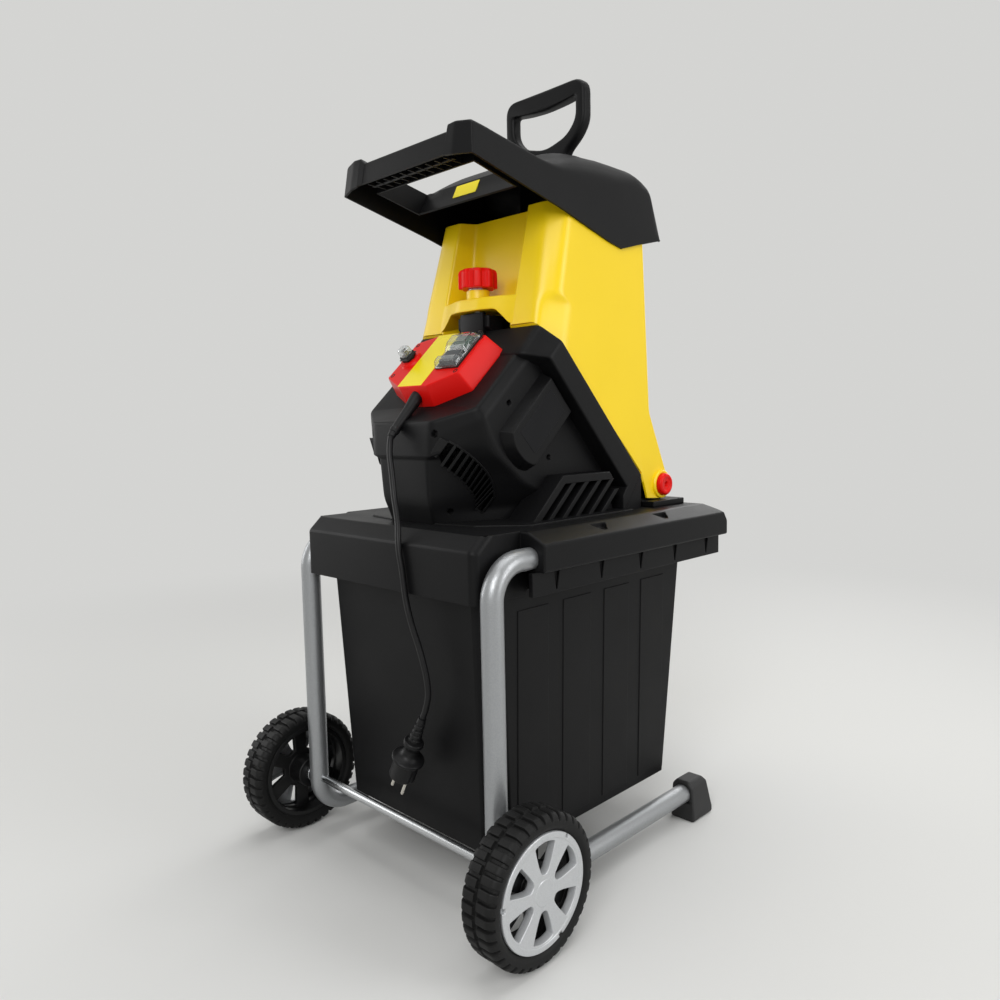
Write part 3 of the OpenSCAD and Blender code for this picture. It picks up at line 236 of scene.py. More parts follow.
def edge_room(mesh, sharp):
    """How far a rounding may reach from each sharp edge over the faces beside it, in metres.
    From the edge's middle a ray runs over the face, square to the edge, to the first other edge; near
    a corner of angle a the reach is also held under the next edge's length times tan(a / 2)."""
    loops = len(mesh.loops)
    vert, edge = [read(mesh.loops, key, 0, np.int32) for key in ("vertex_index", "edge_index")]
    start, total = [read(mesh.polygons, key, 0, np.int32) for key in ("loop_start", "loop_total")]
    normal, co = read(mesh.polygons, "normal", 3), read(mesh.vertices, "co", 3)
    face = np.repeat(np.arange(len(start)), total)
    after = np.arange(loops) + 1
    after[start + total - 1] = start
    before = np.empty(loops, np.int64)
    before[after] = np.arange(loops)
    a, b = co[vert], co[vert[after]]
    length = np.linalg.norm(b - a, axis=1)
    along = (b - a) / np.maximum(length, 1e-12)[:, None]
    inward = np.cross(normal[face], along)
    reach = np.full(loops, np.inf)
    pick = np.flatnonzero(sharp[edge])
    count = total[face[pick]]
    who = np.repeat(pick, count)
    other = start[face[who]] + np.arange(count.sum()) - np.repeat(np.cumsum(count) - count, count)
    who, other = who[other != who], other[other != who]
    middle = (a[who] + b[who]) / 2
    sa, ta = [np.einsum("ij,ij->i", a[other] - middle, d[who]) for d in (along, inward)]
    sb, tb = [np.einsum("ij,ij->i", b[other] - middle, d[who]) for d in (along, inward)]
    span = np.where(np.abs(sb - sa) < 1e-12, 1e-12, sb - sa)
    t = ta - sa * (tb - ta) / span
    t = np.where((sa * sb <= 0) & (t > 1e-7), t * np.where(sharp[edge[other]], SHARED, ALONE), np.inf)
    np.minimum.at(reach, who, t)
    for near, sign in ((before, -1), (after, 1)):
        cos = np.clip(-np.einsum("ij,ij->i", along, along[near]), -0.9999, 0.9999)
        turn = sign * np.einsum("ij,ij->i", np.cross(along, along[near]), normal[face])
        both = SHARED * np.minimum(length, length[near]) * np.sqrt((1 - cos) / (1 + cos))
        one = ALONE * length[near] * np.sqrt(1 - cos * cos)
        reach = np.minimum(reach, np.where(turn < -1e-6, np.inf, np.where(sharp[edge[near]], both, one)))
    room = np.full(len(mesh.edges), np.inf)
    np.minimum.at(room, edge[pick], reach[pick])
    return room


def eased(node, finish, width, wide=None, reach=0):
    """A copy of a solid with its edges rounded as far as the faces beside them leave room. The copy is cut at
    the middle of the machine, so that no flat face has a hole there; its flat faces are made whole, and
    those of many sides are split again. Edges that wide picks, from their ends in millimetres, are
    first rounded over the whole reach."""
    mesh = frame["nodes"][node].data.copy()
    bm = bmesh.new()
    bm.from_mesh(mesh)
    bmesh.ops.remove_doubles(bm, verts=bm.verts, dist=3e-6)
    cut = bmesh.ops.bisect_plane(bm, geom=bm.verts[:] + bm.edges[:] + bm.faces[:], dist=1e-6,
                                 plane_co=(0, 0, 0), plane_no=(1, 0, 0))
    for item in cut["geom_cut"]:
        if isinstance(item, bmesh.types.BMEdge):
            item.seam = True
    bmesh.ops.dissolve_limit(bm, angle_limit=math.radians(0.5), verts=bm.verts, edges=bm.edges,
                             delimit={"SEAM"})
    if wide:
        bm.to_mesh(mesh)
        ends = read(mesh.vertices, "co", 3)[read(mesh.edges, "vertices", 2, np.int32)]
        bm.edges.ensure_lookup_table()
        picked = [bm.edges[k] for k in np.flatnonzero(wide(1000 * (ends - (0, AXLE_Y, 0))))]
        bmesh.ops.bevel(bm, geom=picked, offset=reach / 1000, offset_type="OFFSET", segments=4, profile=0.5,
                        affect="EDGES")
    bmesh.ops.triangulate(bm, faces=[face for face in bm.faces if len(face.verts) > 4])
    bm.to_mesh(mesh)
    bm.free()
    if "custom_normal" in mesh.attributes:
        mesh.attributes.remove(mesh.attributes["custom_normal"])
    normal = read(mesh.polygons, "normal", 3)
    edge = read(mesh.loops, "edge_index", 0, np.int32)
    face = np.repeat(np.arange(len(normal)), read(mesh.polygons, "loop_total", 0, np.int32))
    order = np.argsort(edge, kind="stable")
    sides = np.bincount(edge, minlength=len(mesh.edges))
    first = np.cumsum(sides) - sides
    one, two = [face[order[np.minimum(first + k, len(order) - 1)]] for k in (0, 1)]
    cos = np.einsum("ij,ij->i", normal[one], normal[two])
    sharp = (sides == 2) & (cos < math.cos(math.radians(24)))
    weight = np.where(sharp, np.clip(edge_room(mesh, sharp) / (width / 1000), 0, 1), 0)
    mesh.attributes.new("bevel_weight_edge", "FLOAT", "EDGE")
    mesh.attributes["bevel_weight_edge"].data.foreach_set("value", weight.astype(np.float32))
    mesh.shade_smooth()
    made = finished(node + "_moulded", mesh, finish, frame["nodes"][node]["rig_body"], node)
    modifier(made, "Edges", "BEVEL", width=width / 1000, segments=3, limit_method="WEIGHT",
             use_clamp_overlap=False)
    modifier(made, "Normals", "WEIGHTED_NORMAL")


def rounded(corners, radius, steps=5, closed=True):
    """A line of corners, or a net of such lines side by side, with each corner replaced by a curve that
    leaves and meets its sides at the radius: p = (1 - t)^2 a + 2 t (1 - t) corner + t^2 b."""
    corners = np.asarray(corners, float)
    radius = np.asarray(radius, float)
    if corners.ndim == 3 and radius.ndim == 1:
        radius = radius[:, None]
    to_a, to_b = np.roll(corners, 1, 0) - corners, np.roll(corners, -1, 0) - corners
    la, lb = [np.maximum(np.linalg.norm(d[..., :3], axis=-1), 1e-9) for d in (to_a, to_b)]
    cut = np.minimum(np.broadcast_to(radius, la.shape), 0.49 * np.minimum(la, lb))
    a, b = corners + to_a * (cut / la)[..., None], corners + to_b * (cut / lb)[..., None]
    t = np.linspace(0, 1, steps).reshape(1, -1, *[1] * (corners.ndim - 1))
    curve = (1 - t) ** 2 * a[:, None] + 2 * t * (1 - t) * corners[:, None] + t * t * b[:, None]
    if closed:
        return curve.reshape(-1, *corners.shape[1:])
    return np.concatenate([corners[:1], curve[1:-1].reshape(-1, *corners.shape[1:]), corners[-1:]])


def bent(corners, radius, steps=4):
    """An open line, or net of lines, with the corners between its ends rounded."""
    return rounded(corners, radius, steps, closed=False)


def refined(net, spacing, closed=False):
    """Points added on the straight stretches of a net's lines, so that no step is longer than the spacing."""
    net = np.concatenate([net, net[:1]]) if closed else net
    longest = np.linalg.norm(np.diff(net[..., :3], axis=0), axis=-1).reshape(len(net) - 1, -1).max(1)
    counts = np.maximum(np.ceil(longest / spacing), 1).astype(int)
    spots = np.concatenate([k + np.arange(n) / n for k, n in enumerate(counts)] + [[len(net) - 1]])
    low = np.minimum(spots.astype(int), len(net) - 2)
    t = (spots - low).reshape(-1, *[1] * (net.ndim - 1))
    fine = net[low] * (1 - t) + net[low + 1] * t
    return fine[:-1] if closed else fine


def by_gap(spacing, index):
    """The spacing of each stretch of a line, from one number or from a list with one for each gap."""
    if np.ndim(spacing) == 0:
        return spacing
    return np.asarray(spacing, float)[((index[:-1] + index[1:]) / 2).astype(int)]


def cage(corners, across, along, spacing=14, closed=False, holes=(), shape=None, lid=False):
    """A surface over a net of corners: each row's corners are rounded by across, then each column's by
    along. Holes are (row, row, column, column) of the net; shape may move the fine net's points; a lid
    closes the last row. Spacing is one number, or lists for the gaps of the columns and of the rows."""
    corners = np.asarray(corners, float)
    rows, cols = np.indices(corners.shape[:2])
    net = np.concatenate([corners, rows[..., None], cols[..., None]], -1)
    wide, high = spacing if isinstance(spacing, tuple) else (spacing, spacing)
    net = rounded(np.swapaxes(net, 0, 1), across, closed=closed)
    if closed:
        # The first column again, numbered on, so that the gap back to it is no part of a hole
        net = np.concatenate([net, net[:1] + (0, 0, 0, 0, corners.shape[1])])
    net = refined(net, by_gap(wide, net[:, 0, 4]))
    net = net[:-1] if closed else net
    along = np.asarray(along, float)
    if along.ndim == 2:
        along = np.stack([np.interp(net[:, 0, 4], np.arange(corners.shape[1]), line) for line in along])
    net = rounded(np.swapaxes(net, 0, 1), along, closed=False)
    net = refined(net, by_gap(high, net[:, 0, 3]))
    points = net[..., :3] if shape is None else shape(net[..., :3], net[..., 4])
    points, faces = sheet(points, wrap_cols=closed)
    middle = net[..., 3:].reshape(-1, 2)[np.array(faces)].mean(1)
    keep = np.ones(len(faces), bool)
    for r0, r1, c0, c1 in holes:
        keep &= ~((middle[:, 0] > r0) & (middle[:, 0] < r1) & (middle[:, 1] > c0) & (middle[:, 1] < c1))
    faces = [face for face, stays in zip(faces, keep) if stays]
    if lid:
        faces.append(list(range(len(points) - net.shape[1], len(points))))
    return points, faces


def mirrored(half):
    """A row of corners from the right side inwards, carried on to the left side."""
    return list(half) + [(-x, y, z) for x, y, z in reversed(half)]


def drawn_in(outline, d):
    """A closed outline moved inwards by d, square to its sides."""
    side = np.roll(outline, -1, 0) - outline
    normal = np.stack([-side[:, 1], side[:, 0]], 1) / np.maximum(np.linalg.norm(side, axis=1), 1e-9)[:, None]
    both = normal + np.roll(normal, 1, 0)
    return outline + d * both / np.maximum((both ** 2).sum(1) / 2, 0.3)[:, None]


def plate(outline, low, high, ease, place):
    """A flat outline given a thickness, with rounded rims: at angle t of a rim the outline is drawn in by
    ease (1 - sin t) at a height of ease (1 - cos t) from the face. place takes (a, b, height) to x, y, z."""
    outline = np.asarray(outline, float)
    after = np.roll(outline, -1, 0)
    if (outline[:, 0] * after[:, 1] - after[:, 0] * outline[:, 1]).sum() < 0:
        outline = outline[::-1]
    t = np.linspace(0, np.pi / 2, 4)
    inset, rise = ease * (1 - np.sin(t)), ease * (1 - np.cos(t))
    rims = [(d, low + h) for d, h in zip(inset, rise)]
    rims += [(d, high - h) for d, h in zip(inset[::-1], rise[::-1])]
    # One more ring on each face keeps the face's shading flat inside its rim
    rims = [(1.8 * ease, low), *rims, (1.8 * ease, high)]
    rings = np.stack([np.column_stack([drawn_in(outline, d), np.full(len(outline), h)]) for d, h in rims])
    points, faces = sheet(rings, wrap_cols=True)
    n = len(outline)
    faces += [list(range(n))[::-1], list(range(len(points) - n, len(points)))]
    return np.stack(np.broadcast_arrays(*place(*points.T)), -1), faces


def across_x(a, b, h):
    """Places an outline of (y, z) square to the machine's x axis."""
    return h, a, b


def upright(a, b, h):
    """Places an outline of (x, y) level, with its thickness upwards."""
    return a, b, h


def on_slope(a, b, h):
    """Places an outline of (x, w) on the switch box's face, with its thickness out of the face."""
    return tuple(np.moveaxis(tilted(a, -h, b), -1, 0))


def box_outline(x0, x1, y0, y1, radius):
    """A rectangle with rounded corners."""
    return rounded([(x0, y0), (x1, y0), (x1, y1), (x0, y1)], radius, 4)


def axis_frame(start, end):
    """Two unit directions across an axis, and the unit direction along it."""
    d = np.subtract(end, start).astype(float)
    d /= np.linalg.norm(d)
    side = np.cross(d, (1.0, 0, 0) if abs(d[0]) < 0.9 else (0, 1.0, 0))
    side /= np.linalg.norm(side)
    return side, np.cross(d, side), d


def lathe(profile, start, end, turns=64, ripple=None):
    """A profile of (radius, distance along) turned round the axis from start towards end:
    p = start + d * distance + radius * (side cos a + other sin a)."""
    profile = np.asarray(profile, float)
    side, other, d = axis_frame(start, end)
    a = np.linspace(0, 2 * np.pi, turns, endpoint=False)
    r = np.repeat(profile[:, :1], turns, 1)
    if ripple is not None:
        r = r + ripple(profile[:, 1:], a[None, :])
    points = (np.asarray(start, float) + profile[:, 1, None, None] * d
              + r[..., None] * (np.cos(a)[:, None] * side + np.sin(a)[:, None] * other))
    return sheet(points, wrap_cols=True)


def swept(path, section):
    """A flat section of (across, up), or one for each step, carried along a path that lies in a plane:
    p = path(s) + across * n(s) + up * b(s), where n is square to the path and to the x axis, or to z where
    the path runs along x."""
    path, section = np.asarray(path, float), np.asarray(section, float)
    along = np.gradient(path, axis=0)
    along /= np.linalg.norm(along, axis=1)[:, None]
    across = np.cross(along, (1.0, 0, 0) if abs(along[0][0]) < 0.9 else (0, 0, 1.0))
    across /= np.linalg.norm(across, axis=1)[:, None]
    up = np.cross(along, across)
    section = section if section.ndim == 3 else section[None]
    points = path[:, None] + section[..., :1] * across[:, None] + section[..., 1:] * up[:, None]
    return sheet(points, wrap_cols=True)


def circle(radius, turns=40):
    """A circle of (across, up)."""
    a = np.linspace(0, 2 * np.pi, turns, endpoint=False)
    return np.stack([radius * np.cos(a), radius * np.sin(a)], 1)


def ramp(value, low, high):
    """0 below low, 1 above high, and a smooth step 3t^2 - 2t^3 between them."""
    t = np.clip((np.asarray(value, float) - low) / (high - low), 0, 1)
    return t * t * (3 - 2 * t)


def on_wheel(points, side):
    """From a wheel's own frame, with z outwards, to its place on the machine."""
    x, y, z = np.moveaxis(np.asarray(points, float), -1, 0)
    return np.stack([side * (WHEEL_X + z), y, WHEEL_R - side * x], -1)


# Finishes

def add(tree, kind, inputs=None, **settings):
    """Adds a node with its settings; an input takes a value or the socket that feeds it."""
    made = tree.nodes.new(kind)
    for key, value in settings.items():
        setattr(made, key, value)
    for key, value in (inputs or {}).items():
        if isinstance(value, bpy.types.NodeSocket):
            tree.links.new(value, made.inputs[key])
        else:
            made.inputs[key].default_value = value
    return made


def new_finish(name):
    """An empty material with its shader and the object's own coordinates."""
    made = bpy.data.materials.new(name)
    made.use_nodes = True
    tree = made.node_tree
    shader = tree.nodes["Principled BSDF"]
    place = add(tree, "ShaderNodeTexCoord").outputs["Object"]
    return made, tree, shader, place


def shade(colour, factor):
    """A colour made lighter or darker."""
    return tuple(min(1.0, c * factor) for c in colour[:3]) + (1.0,)


def dress(tree, shader, tint, gloss, bump):
    """Feeds a shader's colour, roughness and normal."""
    for key, socket in (("Base Color", tint.outputs["Result"]), ("Roughness", gloss.outputs["Result"]),
                        ("Normal", bump.outputs["Normal"])):
        tree.links.new(socket, shader.inputs[key])


def moulded(name, colour, rough, ior=1.53, grain_mm=1.6, grain=0.22, mottle=0.12, sheen=0.5):
    """Injection-moulded plastic: an eroded mould leaves a fine even grain, drawn coarser than
    the real 0.3 mm so that it shows, and flow marks vary the gloss slowly over some 90 mm."""
    made, tree, shader, place = new_finish(name)
    fine = add(tree, "ShaderNodeTexNoise", {"Vector": place, "Scale": 1000 / grain_mm, "Detail": 3.0})
    slow = add(tree, "ShaderNodeTexNoise", {"Vector": place, "Scale": 1000 / 90, "Detail": 2.0})
    tint = add(tree, "ShaderNodeMix", {"Factor": slow.outputs["Fac"], "A": shade(colour, 1 - mottle),
                                       "B": shade(colour, 1 + mottle)}, data_type="RGBA")
    gloss = add(tree, "ShaderNodeMapRange", {"Value": slow.outputs["Fac"], "From Min": 0.3, "From Max": 0.7,
                                             "To Min": rough - 0.05, "To Max": rough + 0.05})
    bump = add(tree, "ShaderNodeBump", {"Height": fine.outputs["Fac"], "Strength": grain, "Distance": 0.0004})
    dress(tree, shader, tint, gloss, bump)
    shader.inputs["IOR"].default_value = ior
    shader.inputs["Specular IOR Level"].default_value = sheen
    return made


def metal(name, colour, rough, streak_mm=(40, 0.8, 0.8), metallic=1.0, relief=0.08, flake_mm=0.0):
    """Metal with streaks from drawing or turning, longer one way than the others; with flakes, a painted
    surface on which they catch the light one by one."""
    made, tree, shader, place = new_finish(name)
    turned = add(tree, "ShaderNodeMapping", {"Vector": place, "Scale": tuple(1000 / s for s in streak_mm)})
    turned = turned.outputs["Vector"]
    streak = add(tree, "ShaderNodeTexNoise", {"Vector": turned, "Scale": 1.0, "Detail": 3.0}).outputs["Fac"]
    share = streak
    if flake_mm:
        flakes = add(tree, "ShaderNodeTexVoronoi", {"Vector": place, "Scale": 1000 / flake_mm})
        share = flakes.outputs["Color"]
    tint = add(tree, "ShaderNodeMix", {"Factor": share, "A": shade(colour, 0.92), "B": shade(colour, 1.06)},
               data_type="RGBA")
    gloss = add(tree, "ShaderNodeMapRange", {"Value": streak, "From Min": 0.3, "From Max": 0.7,
                                             "To Min": rough * 0.8, "To Max": rough * 1.2})
    bump = add(tree, "ShaderNodeBump", {"Height": streak, "Strength": relief, "Distance": 0.0002})
    dress(tree, shader, tint, gloss, bump)
    shader.inputs["Metallic"].default_value = metallic
    return made


def clear_plastic(name, rough, milk):
    """Clear moulded plastic: it shows what lies behind it, with bright edges and a few faint ripples; the
    milkier, the more it shows its own pale body."""
    made, tree, shader, place = new_finish(name)
    ripple = add(tree, "ShaderNodeTexNoise", {"Vector": place, "Scale": 1000 / 12, "Detail": 1.0})
    height = ripple.outputs["Fac"]
    bump = add(tree, "ShaderNodeBump", {"Height": height, "Strength": 0.05, "Distance": 0.0005})
    tree.links.new(bump.outputs["Normal"], shader.inputs["Normal"])
    shader.inputs["Base Color"].default_value = linear("#f3f6f6")
    shader.inputs["Transmission Weight"].default_value = 1 - milk
    shader.inputs["Roughness"].default_value = rough
    shader.inputs["IOR"].default_value = 1.45
    return made


FINISHES = {}


def make_finishes():
    """All finishes, each under the word that the pieces call it by."""
    c, grain = colours(), 1000 * sizes().grain
    FINISHES.update({
        # Satin from a polished mould: an even strong yellow with soft wide highlights
        "yellow": moulded("Moulded yellow ABS", c.hopper, 0.36, grain_mm=grain, grain=0.10, mottle=0.03),
        # The same satin with less sheen, so that the red stays deep on its lit faces
        "red": moulded("Moulded red ABS", c.switch, 0.34, grain_mm=grain, grain=0.10, mottle=0.03,
                       sheen=0.15),
        # Eroded mould: a dull black with a fine grain that breaks up the light on its rounded edges
        "black": moulded("Moulded grained black polypropylene", c.body, 0.44, ior=1.49, grain_mm=grain,
                         sheen=0.14),
        # Smooth mould: a deeper black with closer, brighter highlights
        "dark": moulded("Moulded smooth black polyamide", shade(c.body, 0.8), 0.38, grain_mm=grain, grain=0.1,
                        sheen=0.25),
        # Wheel cores: the body's black darkened to three quarters as painted shade, since they lie in shadow;
        # a little gloss along the spokes
        "wheel": moulded("Moulded black wheel plastic with painted shade", shade(c.body, 0.75), 0.42, ior=1.49, grain_mm=grain,
                         sheen=0.4),
        # Rubber feet: matt and coarse, with a broad pale sheen
        "foot": moulded("Moulded foot rubber", shade(c.body, 0.9), 0.6, grain_mm=2.2, grain=0.35),
        # Tyres: matt and blotchy, with only a faint gleam on the blocks
        "tyre": moulded("Moulded tyre rubber", linear("#101010"), 0.55, grain_mm=2.0, grain=0.3, mottle=0.2,
                        sheen=0.2),
        # Extruded lead: smooth black with one soft line of light along it
        "cord": moulded("Extruded cord PVC", linear("#101011"), 0.42, grain_mm=2.4, grain=0.12, sheen=0.22),
        # Buttons: smooth, with small clear highlights under the flap
        "green": moulded("Moulded green button plastic", linear("#17402a"), 0.35, grain_mm=grain, grain=0.08),
        "grey": moulded("Moulded grey button plastic", linear("#3b3d40"), 0.38, grain_mm=grain, grain=0.08),
        # Labels: thin and flat, a flat colour with a slight gloss
        "label": moulded("Die-cut vinyl label", c.label, 0.3, ior=1.46, grain_mm=4, grain=0.05, mottle=0.03),
        "plate": moulded("Die-cut satin vinyl label", linear("#131315"), 0.36, ior=1.46, grain_mm=3,
                         grain=0.05, sheen=0.14),
        # Flap: nearly invisible, drawn by its bright edges and humps
        "clear": clear_plastic("Moulded clear polycarbonate", 0.04, 0.02),
        # Boot: softer and a little cloudy, so the stem inside shows dimly
        "boot": clear_plastic("Dip-moulded soft clear PVC", 0.08, 0.1),
        # Silver paint: soft metallic light with a faint sparkle of flakes
        "tube": metal("Silver painted steel tube", c.tube, 0.38, (3, 3, 3), 0.7, 0.03, 0.9),
        "cover": metal("Silver painted wheel cover", c.wheel_cover, 0.36, (3, 3, 3), 0.4, 0.03, 0.9),
        # Drawn and zinc plated: bright, with fine streaks along the rod
        "steel": metal("Zinc plated steel", linear("#c2c4c6"), 0.24, (60, 1.2, 1.2)),
        # Blackened: dark dots with a dim glint
        "dark_steel": metal("Blackened steel screws", linear("#141415"), 0.4, (6, 6, 6), 0.9),
        # Ground flat: a grey sheen streaked one way
        "blade": metal("Ground tool steel", linear("#b4b7ba"), 0.3, (1.5, 30, 1.5)),
        # Plated pins: small, warm and bright
        "pin": metal("Nickel plated brass pins", linear("#cfcbc2"), 0.18, (8, 8, 1)),
        # Stacked sheets under varnish: dull dark grey with fine lines across the stack
        "iron": metal("Varnished laminated iron", linear("#4a4a4c"), 0.5, (20, 20, 0.7), 0.6, 0.2),
        # Cast in a rough die: a pale dull grey, slightly pitted
        "alloy": metal("Die-cast aluminium", linear("#a2a5a8"), 0.45, (2.5, 2.5, 2.5), 1.0, 0.2),
        # Drawn strip: a warm yellow gleam
        "brass": metal("Drawn brass", linear("#b58a3c"), 0.3, (10, 1, 1)),
    })


# Pieces

CORD_ROUTE = [
    (0, 9, 610), (3, 5, 600), (6, 2, 586), (11, 0, 568), (15, -1.5, 549), (20, -3.8, 531), (28, -7.5, 514),
    (36, -12, 498), (42, -17, 481), (46, -19, 463), (50, -19, 445), (53, -19, 426), (56, -19, 407),
    (61, -18.5, 387), (66, -16, 366), (72, -13, 345), (78, -11, 323), (82, -9.5, 302), (83.5, -9.5, 282),
    (79.8, -11.2, 263.7), (74, -12, 251)]
SLEEVE_ROUTE = [(0, 64, 670), (0, 55, 661), (0, 44, 648.5), (0, 31, 634.5), (0, 19, 621.5), CORD_ROUTE[0]]
PLUG = (CORD_ROUTE[-1], (30, -18, 155))


def smooth_path(points, per=8):
    """A curve through all the points: each stretch is the cubic whose ends lean along their neighbours."""
    p = np.asarray(points, float)
    p = np.concatenate([[2 * p[0] - p[1]], p, [2 * p[-1] - p[-2]]])
    t = np.linspace(0, 1, per, endpoint=False)[None, :, None]
    a, b, c, d = p[:-3, None], p[1:-2, None], p[2:-1, None], p[3:, None]
    square, cube = 2 * a - 5 * b + 4 * c - d, 3 * b - a - 3 * c + d
    curve = 0.5 * (2 * b + (c - a) * t + square * t ** 2 + cube * t ** 3)
    return np.concatenate([curve.reshape(-1, 3), p[-2:-1]])


def lead_curve():
    """The lead as a round curve, and the fine points of its route in metres."""
    path = metres(smooth_path(CORD_ROUTE, 6))
    line = bpy.data.curves.new("cord_lead", "CURVE")
    line.dimensions = "3D"
    line.bevel_depth = sizes().cord_diameter / 2
    line.bevel_resolution = 8
    line.use_fill_caps = True
    spline = line.splines.new("POLY")
    spline.points.add(len(path) - 1)
    spline.points.foreach_set("co", np.concatenate([path, np.ones((len(path), 1))], 1).ravel())
    spline.use_smooth = True
    line.materials.append(FINISHES["cord"])
    cord = bpy.data.objects.new("cord_lead", line)
    bpy.context.scene.collection.objects.link(cord)
    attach(cord, "chassis")
    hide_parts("cord")
    return cord, path


def sleeve():
    """Sleeve: a circle whose radius r(s) narrows from the box's wall to a ring near its end."""
    line = smooth_path(SLEEVE_ROUTE, 10)
    run = np.concatenate([[0], np.cumsum(np.linalg.norm(np.diff(line, axis=0), axis=1))])
    end = run[-1]
    spot = np.unique(np.concatenate([run, end - np.array([14, 13.4, 12.8, 8, 7.4, 6.8, 1, 0.5, 0.2])]))
    line = np.stack([np.interp(spot, run, line[:, k]) for k in range(3)], 1)
    radius = np.interp(spot, [0, 12, 22, 36, end - 14, end - 13, end - 7.4, end - 6.8, end - 1, end],
                       [9.0, 9.0, 8.4, 7.2, 6.3, 7.0, 6.8, 5.7, 5.3, 4.3])
    # A point a hair beyond each end, where the radius is nothing, closes the sleeve
    hair = (0, 0.01, 0.01)
    return swept(np.concatenate([line[:1] + hair, line, line[-1:] - hair]),
                 np.concatenate([[0], radius, [0]])[:, None, None] * circle(1))


def plug_body():
    """Plug: a profile turned round its axis, with flexing ribs behind its flange and flats before it."""
    def ribs(s, a):
        # Flexing ribs: four grooves, each broken in two by bridges at the sides
        row = (s - 6) / 7.2
        inside = (row > 0) & (row < 4)
        groove = 1 - ramp(np.abs(row % 1 - 0.5), 0.12, 0.26)
        bridge = ramp(np.abs(np.cos(a + np.floor(row) * np.pi / 2)), 0.25, 0.4)
        return -1.7 * groove * inside * bridge

    def flats(s, a):
        # The body under the flange has two shallow flats with guide grooves
        low = ramp(s, 70.5, 72)
        return ribs(s, a) - low * 1.6 * np.exp(-((np.cos(a) / 0.14) ** 2))

    profile = np.concatenate([
        [(0, 0.5)], np.linspace((5.2, 0), (8.6, 36), 60),
        bent([(8.6, 36), (12.5, 36.6), (13.6, 38), (13.6, 42), (12, 44), (10.2, 48), (10, 53), (11.4, 57.5),
              (15, 60.8), (21, 63.2), (22, 64.4), (22, 66.8), (21, 67.8), (17.6, 68.4), (17.6, 94),
              (16.6, 95), (0, 95)], [0, 0.6, 1, 1, 1.6, 3, 3, 3, 3, 1, 0.8, 0.8, 0.6, 0.6, 0.8, 0.8, 0], 5)])
    return lathe(profile, *PLUG, turns=96, ripple=flats)


def plug_pins():
    """Two pins side by side, along the plug's axis."""
    d = np.subtract(PLUG[1], PLUG[0]) / np.linalg.norm(np.subtract(*PLUG))
    turn = math.atan2(d[1], d[0])
    tip = math.acos(d[2])
    across = np.array([math.cos(turn) * math.cos(tip), math.sin(turn) * math.cos(tip), -math.sin(tip)])
    pin = bent([(0, 86), (2.4, 86), (2.4, 117), (1.6, 119), (0, 119)], 0.8, 5)
    return joined([lathe(pin, PLUG[0] + s * 9.5 * across, PLUG[1] + s * 9.5 * across, 24) for s in (-1, 1)])


def make_cord():
    """The lead hangs from the sleeve under the switch box and ends in a moulded two-pin plug."""
    cord, path = lead_curve()
    piece("cord_sleeve", sleeve(), "cord", "chassis", "cord_gland")
    plug = piece("plug_moulding", plug_body(), "cord", "chassis", "plug_body")
    pins = piece("plug_contacts", plug_pins(), "pin", "chassis", "plug_pins")


def make_tyres():
    """Tread: outline(s) of the tyre turned round its axle, pushed in where the groove between the rows or a
    cut between two blocks runs; the cuts of the two rows are staggered."""
    depth, blocks, radius = 1000 * sizes().tread_depth, sizes().tread_blocks, 90
    wall = bent([(70, -21.5), (75, -25.2), (84, -25.5), (radius, -19.5), (radius, 0)],
                [0.5, 3, 4, 3.5, 0], 6)
    upper = wall[wall[:, 0] > 80]
    # Coarse rows on the sidewalls, fine rows over the crown
    crown = np.linspace(-24.5, 24.5, 71)
    low = wall[:np.argmax(wall[:, 0] > 86.5)]
    over = np.interp(-np.abs(crown), upper[:, 1], upper[:, 0])
    r = np.concatenate([low[:, 0], over, low[::-1, 0]])[:, None]
    z = np.concatenate([low[:, 1], crown, -low[::-1, 1]])[:, None]
    a = np.linspace(0, 2 * np.pi, blocks * 16, endpoint=False)[None, :]
    pitch = 2 * np.pi / blocks
    phase = (a / pitch + np.where(z > 0, 0, 0.5)) % 1
    from_cut = np.minimum(phase, 1 - phase) * pitch * radius
    cut = (1 - ramp(from_cut, 2.0, 3.0)) * ramp(np.abs(z), 1.6, 2.6)
    band = 1 - ramp(np.abs(z), 1.8, 2.8)
    r = r - depth * np.maximum(cut, band) * ramp(r, 81, 85)
    local = np.stack([r * np.cos(a), r * np.sin(a), z + 0 * a], -1)
    for side, name in SIDES:
        tread = sheet(on_wheel(local, side), wrap_rows=True, wrap_cols=True)
        piece("tyre_tread_" + name, tread, "tyre", "wheel_" + name, "tyre_" + name)


